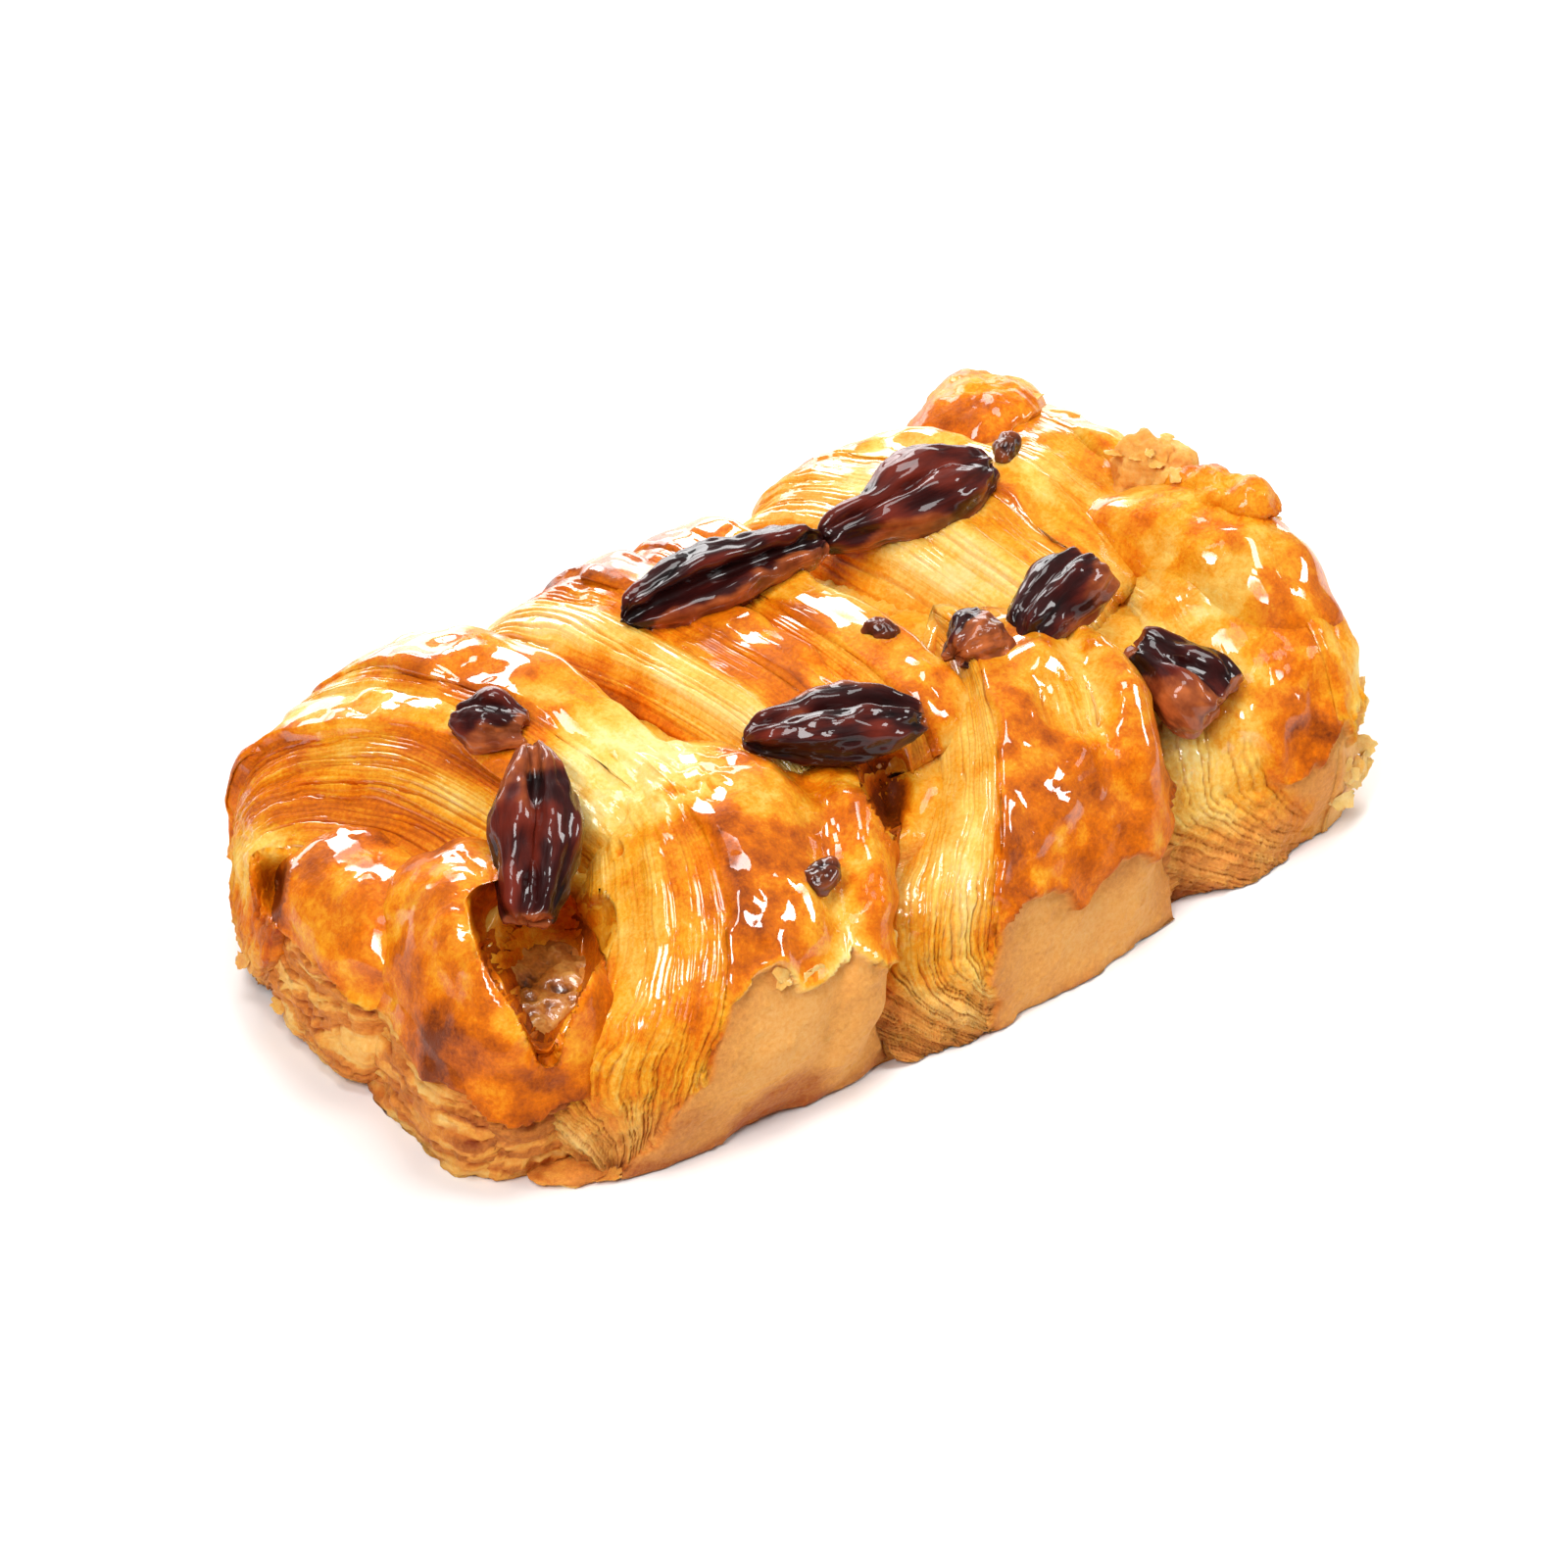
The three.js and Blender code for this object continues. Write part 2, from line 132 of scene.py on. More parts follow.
# The inner dough, the foot sheet and the folded lobes. skin is the height from which a lobe is glazed and how
# that line climbs across it, crag how craggy it is, and layered how far its layers show. waves is how layers
# wander, mesh the rows and columns of points, and a key sets one piece's chance apart from the others'.
CORE = dict(
    size=(132, 62), middle=9, top=26.5, rounding=3.2, layer_pitch=0.8, layer_depth=0.7,
    waves=(16, 4, 65, 3), key=3, mesh=(80, 300))
FOOT = dict(
    size=(126, 71, 8), rounding=4, slope=0.03, layer_pitch=0.9, layer_depth=0.6,
    waves=(12, 2, 67, 3), key=5, mesh=(26, 520))
LOBE_KEYS = 11
FLAKE_KEYS = 21
FLAKE_MESH = (40, 70)
LOBES = {
    "near_wall": dict(
        at=(-52, 2, 6), size=(26, 56, 22), turn=-6, rounding=3.2, skin=(99, 0), tone=0.5,
        mesh=(110, 170)),
    "fold_near_inner": dict(
        at=(-60, 8.5, 12), size=(18, 26, 26), turn=-8, lean=0.1, rounding=3, skin=(14.5, 0.15), tone=0.6,
        mesh=(120, 160)),
    "fold_near_outer": dict(
        at=(-59, -11, 13), size=(18.6, 34, 34), turn=-12, lean=0.1, rounding=2.9, skin=(14.5, 0.15), tone=0.6,
        mesh=(120, 160)),
    "fold_near_low": dict(
        at=(-60, -6, 8), size=(17, 38, 25), turn=-16, lean=0.1, rounding=3, skin=(14.5, 0.15), tone=0.6,
        mesh=(100, 140)),
    "fold_far": dict(
        at=(56, -11.5, 14), size=(17.4, 39, 39), turn=4, rounding=2.8, skin=(16, 0), tone=0.42,
        mesh=(90, 150)),
    "fold_back_corner": dict(
        at=(55.5, 26.5, 26), size=(18, 14, 14), turn=30, rounding=3.4, skin=(52, -1), tone=0.42, crag=2,
        mesh=(70, 110)),
}
# Small nut bits that are baked on to the dough
CHIPS = [
    dict(at=(47.4, 13.7, 34.9), size=(5.5, 3.2, 3.2), turn=30, rounding=2.4),
    dict(at=(-26.1, -32.3, 27.6), size=(5.5, 4, 3.4), turn=10, rounding=2.4),
    dict(at=(8.6, -5.1, 33.6), size=(4.5, 3, 2.6), turn=-60, rounding=2.4),
]
FLAKES = {
    "flake_far_top": dict(
        at=(59.5, 1, 31), size=(8, 9, 11), turn=20, tilt=15, rounding=2.6, skin=(99, 0), tone=0.4,
        crag=5, layered=0.2, mesh=FLAKE_MESH),
    "flake_far_side": dict(
        at=(61, -11, 32), size=(6, 13, 8), turn=10, tilt=-20, rounding=2.8, skin=(33, 0), tone=0.45,
        crag=4, layered=0.4, mesh=FLAKE_MESH),
    "flake_near_base": dict(
        at=(-58, -27.5, 0.7), size=(15, 7, 1.4), turn=-19, rounding=2.5, skin=(99, 0), tone=0.6,
        rough=0.3, crag=2, mesh=FLAKE_MESH),
}
FILLING = dict(at=(0, -7, 12.5), size=(126, 34, 10), rounding=2.4, mesh=(200, 80))
# Hollows in the dough: how much painted shade darkens them inside, how ragged their rim is and how softly it
# falls in
POCKETS = [
    dict(at=(-56.8, -19.2, 24.7), size=(21, 13, 34), turn=47, tilt=-57, rounding=2.2, taper=0.55, painted_shade=0.2,
         ragged=0.5, soft=0.12),
    dict(at=(-64.5, 20, 18), size=(8.5, 5, 11), turn=47, tilt=-57, rounding=3, taper=0.4, painted_shade=0.12,
         ragged=0.9, soft=1),
    dict(at=(-6.3, -23, 26.5), size=(12, 7, 15), turn=47, tilt=-57, rounding=2, taper=0.75, painted_shade=0.6,
         ragged=0.3, soft=0.01),
]
POCKET_RIM = 0.1
POCKET_RAGGED_WIDTH = 7

# The pecans, as in their solids. bare is which way the side without skin faces, along, across and up,
# and how much of it is bare.
PECANS = {
    "pecan_half_back": dict(
        at=(2, 15.7, 34.6), size=(30, 9, 9), turn=-5, tilt=0, roll=48,
        ends=(-1, 1), taper=0.12, bend=-0.1, swell=0.1, phase=2.6,
        groove=0.6, bare=(0.1, -1, 0.1, 0.8)),
    "pecan_half_far": dict(
        at=(29.7, 13, 34.2), size=(26, 9.5, 9), turn=-8, tilt=-6, roll=20,
        ends=(-1, 1), taper=-0.3, bend=0.1, swell=0.14, phase=0.4,
        groove=0.25, bare=(0, -0.9, -0.4, 0.45)),
    "pecan_half_middle": dict(
        at=(-8.4, -15.7, 32), size=(22, 11, 9), turn=-29, tilt=0, roll=0,
        ends=(-1, 0.94), taper=-0.1, bend=0.08, swell=0.08, phase=1,
        groove=0.55, bare=(0, 0.9, 0.3, 0.3)),
    "pecan_piece_front": dict(
        at=(29.8, -13.6, 32.6), size=(18, 9, 10), turn=8, tilt=-8, roll=-10,
        ends=(-1, 0.62), taper=0, bend=-0.25, swell=0.1, phase=0.2,
        groove=0.3, bare=(0.6, -0.7, -0.5, 0.6)),
    "pecan_piece_small": dict(
        at=(16.1, -13.7, 32.7), size=(9, 8, 7), turn=10, tilt=0, roll=15,
        ends=(-0.9, 0.6), taper=-0.3, bend=0.1, swell=0.1, phase=2,
        groove=0.1, bare=(0, -0.6, 0.8, 1)),
    "pecan_piece_end": dict(
        at=(36.4, -28.3, 24.6), size=(17, 11.5, 9), turn=-70, tilt=24, roll=12,
        ends=(-0.9, 0.55), taper=-0.1, bend=0.15, swell=0.12, phase=0.8,
        groove=0.35, bare=(0.4, -0.9, 0, 0.7)),
    "pecan_piece_top": dict(
        at=(-40.9, 7.7, 35.5), size=(11, 7.5, 7), turn=-55, tilt=0, roll=0,
        ends=(-0.85, 0.7), taper=0.1, bend=0.15, swell=0.16, phase=2.2,
        groove=0.4, bare=(0.5, -0.8, 0, 0.5)),
    "pecan_half_near": dict(
        at=(-48.4, -8.2, 31.6), size=(25, 10, 9), turn=47, tilt=-25, roll=0,
        ends=(-0.92, 1), taper=0.2, bend=0.12, swell=0.1, phase=1.2,
        groove=0.4, bare=(0.9, 0.2, 0.3, 0.28)),
}
PECAN_ROUNDING = 2.3
PECAN_GROOVE_WIDTH = 0.2
PECAN_UNDERSIDE = 0.6
PECAN_SWELLS = 4.5
PECAN_MESH = (64, 100)
CHIP_MESH = (24, 40)

# Places on the dough that differ from the rest: middle, radius and amount
BROWN_SPOTS = [
    (-33, -30, 31, 9, 0.1),
    (14, -36, 20, 11, 0.16),
    (-66, -20, 15, 8, 0.22),
    (57, -27, 30, 7, 0.04),
    (48, -34, 17, 6, 0.2),
    (-66, 18, 17, 6, 0.3),
    (-48, -37, 2, 8, 0.15),
    (-36, -38, 1, 8, 0.4),
    (-20, 13.5, 30, 8, 0.22),
    (-24, -33, 29, 8, 0.08),
    (47, -36, 9, 10, 0.15),
    (34, -36, 3, 7, 0.25),
]
# Paler places; the second and third are painted sheen along the two back ridges
PALE_AND_SHEEN_SPOTS = [
    (-33, -6, 32, 10, 0.22),
    (-46, 26, 31, 9, 0.18),
    (-32, 22, 32, 9, 0.12),
    (20, 4, 30, 12, 0.2),
    (19, -27, 29, 6, 0.3),
    (34, -34, 11, 7, 0.1),
]
TORN_SPOTS = [
    (-33, -8, 32, 13, 1),
    (60, 0, 34, 8, 0.8),
    (-67, 23, 19, 9, 0.7),
]
DRY_SPOTS = [
    (62, -8, 33, 13, 0.8),
    (56, 27, 32, 10, 0.7),
    (58, -32, 12, 14, 0.8),
]
OPEN_SPOTS = [
    (19, -27, 29, 6, 1),
]
SPOT_RAGGED_WIDTH = 4

# Runs of loose flakes on a strip: shares across and along it, how many, their size and tone
FLAKE_RUNS = [
    ("strip_front_2", (0.45, 0.98), (0.47, 0.51), 10, 3, 0.2),
    ("strip_front_4", (0.4, 0.9), (0.12, 0.25), 12, 3.5, 0.25),
    ("strip_front_4", (0.75, 1.0), (0.3, 0.8), 8, 3, 0.35),
]
# Heaps of loose flakes: the middle, how far they spread, which way they face, how many, their size and tone
FLAKE_HEAPS = [
    ((59.5, 0, 35.5), (4, 5, 1), (0, -0.3, 1), 8, 2.5, 0.3),
    ((63.5, -10, 32), (2, 7, 1.5), (0.4, 0, 1), 8, 2.5, 0.4),
    ((-66, 6, 7), (0.6, 18, 5), (-1, 0, 0.1), 12, 2.5, 0.4),
    ((-60, -28, 0.6), (6, 2.5, 0.3), (-0.1, -0.2, 1), 4, 5, 0.6),
    ((55.5, 26.5, 32), (6, 5, 0.8), (0, 0, 1), 6, 2.5, 0.35),
]
# How flakes are strewn: lift, lowest height, shares of their size, tilts in radians, and how much tones vary
FLAKE_SEED = 4
FLAKE_LIFT = 0.7
FLAKE_FLOOR = 0.05
FLAKE_SIZES = (0.4, 1.2)
FLAKE_TILTS = ((-0.35, 0.1), (-0.2, 0.2), (-0.8, 0.8))
FLAKE_TONES = 0.12
SCRAP_MESH = (7, 20)
SCRAP_ROUNDING = 2.4
SCRAP_THICKNESS = 0.2
SCRAP_STEP = 3.7


# Chance and blending

# Large odd numbers that stir the bits of a corner's place and seed
PLACE_STIRS = (73856093, 19349663, 83492791, 668265263)
BIT_STIRS = (2246822519, 3266489917)
LOW_BITS = 0xFFFFFFFF
VALUE_BITS = 0xFFFFFF


def corner_value(i, j, k, seed):
    """A fixed chance value from 0 to 1 for each whole-number corner."""
    by_i, by_j, by_k, by_seed = PLACE_STIRS
    mixed = ((i * by_i) ^ (j * by_j) ^ (k * by_k) ^ (seed * by_seed)) & LOW_BITS
    mixed = ((mixed ^ (mixed >> 15)) * BIT_STIRS[0]) & LOW_BITS
    mixed = ((mixed ^ (mixed >> 13)) * BIT_STIRS[1]) & LOW_BITS
    return ((mixed ^ (mixed >> 16)) & VALUE_BITS) / VALUE_BITS


def soft_noise(points, seed):
    """Smooth chance from 0 to 1 over points in space, with features about one unit wide."""
    cell = np.floor(points).astype(np.int64)
    part = points - cell
    ease = part ** 3 * (part * (part * 6 - 15) + 10)
    total = np.zeros(points.shape[:-1])
    for corner in range(8):
        step = np.array([corner & 1, corner >> 1 & 1, corner >> 2 & 1])
        weight = np.prod(np.where(step, ease, 1 - ease), axis=-1)
        i, j, k = np.moveaxis(cell + step, -1, 0)
        total += weight * corner_value(i, j, k, seed)
    return total


def rough_noise(points, seed, octaves=3):
    """Chance from 0 to 1 with finer and finer detail."""
    total = 0
    weight = 0
    for octave in range(octaves):
        share = 0.5 ** octave
        total = total + share * soft_noise(points * 2 ** octave, seed + octave)
        weight += share
    return total / weight


def spread(*values):
    """Values side by side as the parts of points."""
    return np.stack(np.broadcast_arrays(*values), -1).astype(float)


def rise(low, high, value):
    """0 below low, 1 above high, and eased between."""
    t = np.clip((value - low) / (high - low), 0, 1)
    return t * t * (3 - 2 * t)


def mix(a, b, t):
    return a + (b - a) * t


def spot_sum(points, spots):
    """How much of the spots, with ragged edges, lies at each point."""
    total = np.zeros(points.shape[:-1])
    for x, y, z, radius, amount in spots:
        away = np.linalg.norm(points - (x, y, z), axis=-1) / radius
        ragged = away + 0.5 * (rough_noise(points / SPOT_RAGGED_WIDTH, seed=71) - 0.5)
        total += amount * (1 - rise(0.55, 1.1, ragged))
    return total


# Forms that repeat those of the solids

def signed_power(value, power):
    return np.sign(value) * np.abs(value) ** power


def through(values, t):
    """A smooth line through three values at 0, 0.5 and 1."""
    start, middle, end = values
    return start * (1 - t) * (1 - 2 * t) + 4 * middle * t * (1 - t) + end * t * (2 * t - 1)


def top_height(x):
    place = np.clip((x / LENGTH + 0.5) * (len(TOP_HEIGHTS) - 1), 0, len(TOP_HEIGHTS) - 1.001)
    i = np.floor(place).astype(int)
    return mix(TOP_HEIGHTS[i], TOP_HEIGHTS[i + 1], rise(0, 1, place - i))


def loaf_point(x, angle, side):
    end = np.minimum(1, np.abs(x) / (LENGTH / 2 + 0.5))
    rounding = (1 - end ** END_ROUNDING) ** (1 / END_ROUNDING)
    half = WIDTH / 2 * rounding
    down = np.clip(angle / FOOT_ANGLE, 0, None)
    turn = np.radians(np.clip(angle, 0, None))
    side_rounding = FRONT_ROUNDING if side == FRONT else BACK_ROUNDING
    out = signed_power(np.cos(turn), 2 / side_rounding)
    up = signed_power(np.sin(turn), 2 / side_rounding)
    tall = (top_height(x) - BELLY_HEIGHT) * mix(END_HEIGHT, 1, rounding)
    y = side * half * np.where(angle < 0, 1 - FOOT_TUCK * down ** 2, out)
    z = np.where(angle < 0, BELLY_HEIGHT * (1 - down), BELLY_HEIGHT + tall * up)
    return np.stack([x, y, z], -1)


def loaf_normal(x, angle, side):
    across = loaf_point(x, angle + NORMAL_STEP, side) - loaf_point(x, angle - NORMAL_STEP, side)
    normal = np.stack([np.zeros_like(x), side * across[..., 2], -side * across[..., 1]], -1)
    return normal / np.linalg.norm(normal, axis=-1, keepdims=True)


def strip_form(strip, share, along):
    """The smooth form of a strip, and the loaf's normal under it."""
    near = through(strip["near"], along)
    ridge = through(strip["ridge"], along)
    far = through(strip["far"], along)
    band = np.clip(share / BAND_SHARE, 0, 1)
    face = np.clip((share - BAND_SHARE) / (1 - BAND_SHARE), 0, 1)
    x = np.where(share < BAND_SHARE, mix(near, ridge, band), mix(ridge, far, face))
    end = mix(strip["reach"][0], strip["reach"][1], (x - near) / (far - near))
    angle = mix(FOOT_ANGLE, end, along)
    height = through(strip["lift"], along)
    height = height - through(strip["band_drop"], along) * (1 - band) ** strip["band_curve"]
    height = height - LAYER_STEP / 2 * (share < BAND_SHARE)
    far_part = np.clip((face - 1 + FAR_SHARE) / FAR_SHARE, 0, None) ** 2
    height = height - through(strip["far_drop"], along) * far_part
    height = height - strip["end_drop"] * np.clip((along - 1 + END_SHARE) / END_SHARE, 0, None) ** 2
    height = height - strip["groove"] * along * np.exp(-((face - GROOVE_PLACE) / GROOVE_WIDTH) ** 2)
    normal = loaf_normal(x, angle, strip["side"])
    return loaf_point(x, angle, strip["side"]) + normal * height[..., None], normal


def turn_of(form):
    roll, tilt, turn = (math.radians(form.get(key, 0)) for key in ("roll", "tilt", "turn"))
    return np.array(Euler((roll, tilt, turn)).to_matrix())


def round_out(directions, power):
    """Pushes points of a unit ball out towards its box."""
    length = np.sum(np.abs(directions) ** power, axis=-1, keepdims=True)
    return directions * length ** (-1 / power)


def ball_directions(rows, columns):
    """Points of a unit ball from its lowest to its highest ring, without the two ends of its axis."""
    up = np.linspace(-math.pi / 2, math.pi / 2, rows + 2)[1:-1, None]
    round_it = np.linspace(0, 2 * math.pi, columns, endpoint=False)[None, :]
    return spread(np.cos(up) * np.cos(round_it), np.cos(up) * np.sin(round_it), np.sin(up))


def lying_ball(rows, columns):
    """The same ball with its axis along X."""
    return ball_directions(rows, columns)[..., [2, 0, 1]]


def block_form(form, directions):
    half = np.array(form["size"]) / 2
    point = round_out(directions, form["rounding"]) * half
    point[..., 0] += form.get("lean", 0) * point[..., 2]
    return point @ turn_of(form).T + form["at"]


def core_form(directions):
    point = round_out(directions, CORE["rounding"])
    tall = np.where(point[..., 2] > 0, CORE["top"] - CORE["middle"], CORE["middle"])
    x = point[..., 0] * CORE["size"][0] / 2
    y = point[..., 1] * CORE["size"][1] / 2
    return np.stack([x, y, CORE["middle"] + point[..., 2] * tall], -1)


def pockets_opened(points):
    """Slides what lies in an open pocket back to its floor, and tells how much painted shade darkens it
    there.
    """
    painted_shade = np.zeros(points.shape[:-1])
    for pocket in POCKETS:
        half = np.array(pocket["size"]) / 2
        turn = turn_of(pocket)
        local = (points - pocket["at"]) @ turn / half
        narrow = 1 + pocket["taper"] * np.clip(local[..., 0], -1, 1)
        local[..., 1] /= narrow
        power = pocket["rounding"]
        aside = (np.abs(local[..., 0]) ** power + np.abs(local[..., 1]) ** power) ** (1 / power)
        uneven_rim = rough_noise(points / POCKET_RAGGED_WIDTH, seed=57, octaves=2) - 0.5
        aside = aside * (1 + pocket["ragged"] * uneven_rim)
        floor = -np.clip(1 - aside ** power, 0, 1) ** (1 / power)
        in_front = local[..., 2] > floor
        inside = in_front & (aside < 1)
        # painted shade inside the pocket
        painted_shade += inside * pocket["painted_shade"] * rise(0, 0.5, local[..., 2] - floor)
        deep = 1 - rise(1 - pocket["soft"], 1, aside)
        local[..., 2] = np.where(inside, mix(local[..., 2], floor, deep), local[..., 2])
        at_rim = in_front & (np.abs(aside - 1) < POCKET_RIM)
        local[..., :2] /= np.where(at_rim, aside, 1)[..., None]
        local[..., 1] *= narrow
        points = (local * half) @ turn.T + pocket["at"]
    return points, painted_shade


# Meshes

# Heights on the flat map of a sheet's front, of the rings behind it and of a ball's end rings
SHEET_MAP = 0.94
BACK_MAP = (0.95, 0.965, 0.98, 0.99)
BALL_MAP = (0.02, 0.98)
# How far the rings behind a sheet have shrunk towards their middle
BACK_SHRINKS = (0.15, 0.4, 0.7)


def grid_normals(points, wraps):
    """Unit normals of a grid of points: rows run along the first axis, columns along the second."""
    down = np.gradient(points, axis=0)
    if wraps:
        across = (np.roll(points, -1, axis=1) - np.roll(points, 1, axis=1)) / 2
    else:
        across = np.gradient(points, axis=1)
    normal = np.cross(across, down)
    return normal / np.maximum(np.linalg.norm(normal, axis=-1, keepdims=True), 1e-9)


def grid_faces(rows, columns, wraps):
    """The four corners of each face of a grid, and the place of each corner on a flat map."""
    last = columns if wraps else columns - 1
    row, column = np.meshgrid(np.arange(rows - 1), np.arange(last), indexing="ij")
    corners = [(0, 0), (0, 1), (1, 1), (1, 0)]
    faces = [(row + r) * columns + (column + c) % columns for r, c in corners]
    places = [np.stack([(column + c) / last, (row + r) / (rows - 1)], -1) for r, c in corners]
    return np.stack(faces, -1).reshape(-1, 4), np.stack(places, 2).reshape(-1, 4, 2)


def make_piece(name, closed, material, slot, *nodes):
    """A mesh piece that rides on the plait and stands for the given nodes."""
    points, faces, places, fields = closed
    if slot == "crust":
        points, painted_shade = pockets_opened(points)
        # painted shade inside the pockets darkens the tone there, and no glaze shines there
        fields["tone"] = np.clip(fields["tone"] + painted_shade, 0, 1)
        fields["wet"] = fields["wet"] * (1 - rise(0, 0.2, painted_shade))
    mesh = bpy.data.meshes.new(name)
    mesh.from_pydata(((points + SHIFT) * MM).tolist(), [], faces)
    uv = mesh.uv_layers.new(name="OFBake")
    uv.data.foreach_set("uv", np.concatenate([np.ravel(p) for p in places]))
    for field, values in fields.items():
        kind, part = ("FLOAT_VECTOR", "vector") if values.ndim == 2 else ("FLOAT", "value")
        attribute = mesh.attributes.new(field, kind, "POINT")
        attribute.data.foreach_set(part, np.ravel(values).astype(np.float32))
    mesh.polygons.foreach_set("use_smooth", np.ones(len(faces), bool))
    mesh.materials.append(material)
    mesh.update()
    piece = bpy.data.objects.new(name, mesh)
    bpy.context.collection.objects.link(piece)
    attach(piece, "root")
    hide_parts(*nodes)


def map_places(corners):
    """Places on a flat map, by face and corner."""
    return np.stack([spread(u, v) for u, v in corners], 1)


def back_of_sheet(rim, first):
    """Faces and map places of the rings behind a sheet, numbered from first on, and of their end."""
    count = len(rim)
    step = np.arange(count)
    left, right = step / count, (step + 1) / count
    faces, places = [], []
    before = rim
    for ring in range(len(BACK_SHRINKS)):
        here = first + ring * count + step
        low, high = BACK_MAP[ring:ring + 2]
        faces += np.stack([np.roll(before, -1), before, here, np.roll(here, -1)], -1).tolist()
        places.append(map_places([(right, low), (left, low), (left, high), (right, high)]))
        before = here
    end = np.full(count, first + len(BACK_SHRINKS) * count)
    faces += np.stack([np.roll(before, -1), before, end], -1).tolist()
    places.append(map_places([(right, BACK_MAP[-1]), (left, BACK_MAP[-1]), ((step + 0.5) / count, 1)]))
    return faces, places


def closed_sheet(points, middle, fields, flip):
    """Closes a grid of points behind, in rings that shrink towards a middle point."""
    rows, columns = points.shape[:2]
    faces, places = grid_faces(rows, columns, False)
    number = np.arange(rows * columns).reshape(rows, columns)
    rim = np.concatenate([number[0, :-1], number[:-1, -1], number[-1, :0:-1], number[:0:-1, 0]])
    back_faces, back_places = back_of_sheet(rim, rows * columns)
    faces = faces.tolist() + back_faces
    places = [places * (1, SHEET_MAP)] + back_places
    if flip:
        faces = [face[::-1] for face in faces]
        places = [part[:, ::-1] for part in places]
    closed_fields = {}
    for field, values in fields.items():
        values = values.reshape(rows * columns, *values.shape[2:])
        behind = [values[rim]] * len(BACK_SHRINKS) + [values[rim[:1]]]
        closed_fields[field] = np.concatenate([values] + behind)
    flat = points.reshape(-1, 3)
    rings = [mix(flat[rim], middle, shrink) for shrink in BACK_SHRINKS]
    return np.concatenate([flat] + rings + [[middle]]), faces, places, closed_fields


def closed_ball(points, fields, ends=None):
    """Closes a wrapped grid with one point at each end: the ends given, or the middles of its end rings."""
    rows, columns = points.shape[:2]
    faces, places = grid_faces(rows, columns, True)
    low, high = BALL_MAP
    step = np.arange(columns)
    after = (step + 1) % columns
    last = rows * columns
    top_row = last - columns
    bottom = np.stack([after, step, np.full(columns, last)], -1)
    top = np.stack([top_row + step, top_row + after, np.full(columns, last + 1)], -1)
    left, right, middle = step / columns, (step + 1) / columns, (step + 0.5) / columns
    places = [
        places * (1, high - low) + (0, low),
        map_places([(right, low), (left, low), (middle, 0)]),
        map_places([(left, high), (right, high), (middle, 1)]),
    ]
    closed_fields = {}
    for field, values in fields.items():
        tips = np.stack([values[0].mean(0), values[-1].mean(0)])
        closed_fields[field] = np.concatenate([values.reshape(last, *values.shape[2:]), tips])
    if ends is None:
        ends = [points[0].mean(0), points[-1].mean(0)]
    flat = np.concatenate([points.reshape(-1, 3), ends])
    return flat, faces.tolist() + bottom.tolist() + top.tolist(), places, closed_fields


# Dough

# Kinds of unevenness: how wide and how high they are, their seed and how many finer sizes they add up
LUMPS = (8, 2.4, 21, 2)
RIPPLES = (4, 0.9, 27, 1)
WRINKLES = (1.4, 0.1, 29, 2)
SWELLS = (13, 2.2, 19, 1)
LOOSE_EDGES = (1.3, 1.1, 49, 2)
TORN_CRUMB = (3.4, 2.2, 31, 4)
TORN_GRAIN = (1.1, 0.8, 33, 2)
CRAGS = (4, 1, 73, 4)
FOOT_EDGES = (4, 1.2, 69, 3)
LOBE_WAVES = (10, 5, 63, 3)
LOBE_SKIN_EDGE = (5, 4, 61, 4)
# The same for tones and for skin on the bands, as shares
PATCHES = (7, 0.6, 51, 3)
MOTTLE = (1.8, 0.4, 53, 3)
BLOTCHES = (6, 1, 51, 3)
SKIN_PATCHES = (7, 0.5, 39, 3)
# Blisters and bubbles: how wide and how high, their seed, and the chance above which they stand out
BLISTERS = (2.6, 0.8, 25, 0.55)
BUBBLES = (0.9, 1.2, 55, 0.68)
# Pits in torn crumb: how wide and how deep, the chance below which they sink in, and how dark they get
PIT_WIDTH = 1.7
PIT_DEPTH = 3
PIT_BELOW = 0.36
PIT_SHADE = 5
# How wide patches of glaze are, and between which heights it starts
GLAZE_WIDTH = 5
GLAZE_HEIGHTS = (9, 18)
# How thick the glazed skin is on strips and on lobes, and how far its lower edge curls out, over which share
STRIP_SKIN = 0.6
LOBE_SKIN = 0.9
EDGE_CURL = 1.1
EDGE_SHARE = 0.02
# How far layers stand out, how thick those of a lobe are, and how many a strip's face has under its skin
STRIP_LAYER_DEPTH = 0.55
LOBE_LAYER_DEPTH = 0.5
LOBE_LAYER_PITCH = 1.1
FACE_LAYERS = 16
# Sets the fine lines of one piece apart from those of the next
GRAIN_STEP = 7.3


def uneven(points, kind):
    """Chance unevenness about zero."""
    width, height, seed, octaves = kind
    return height * (rough_noise(points / width, seed, octaves) - 0.5)


def beads(points, kind):
    """Bumps where chance rises above a start."""
    width, height, seed, start = kind
    return height * np.clip(soft_noise(points / width, seed) - start, 0, None)


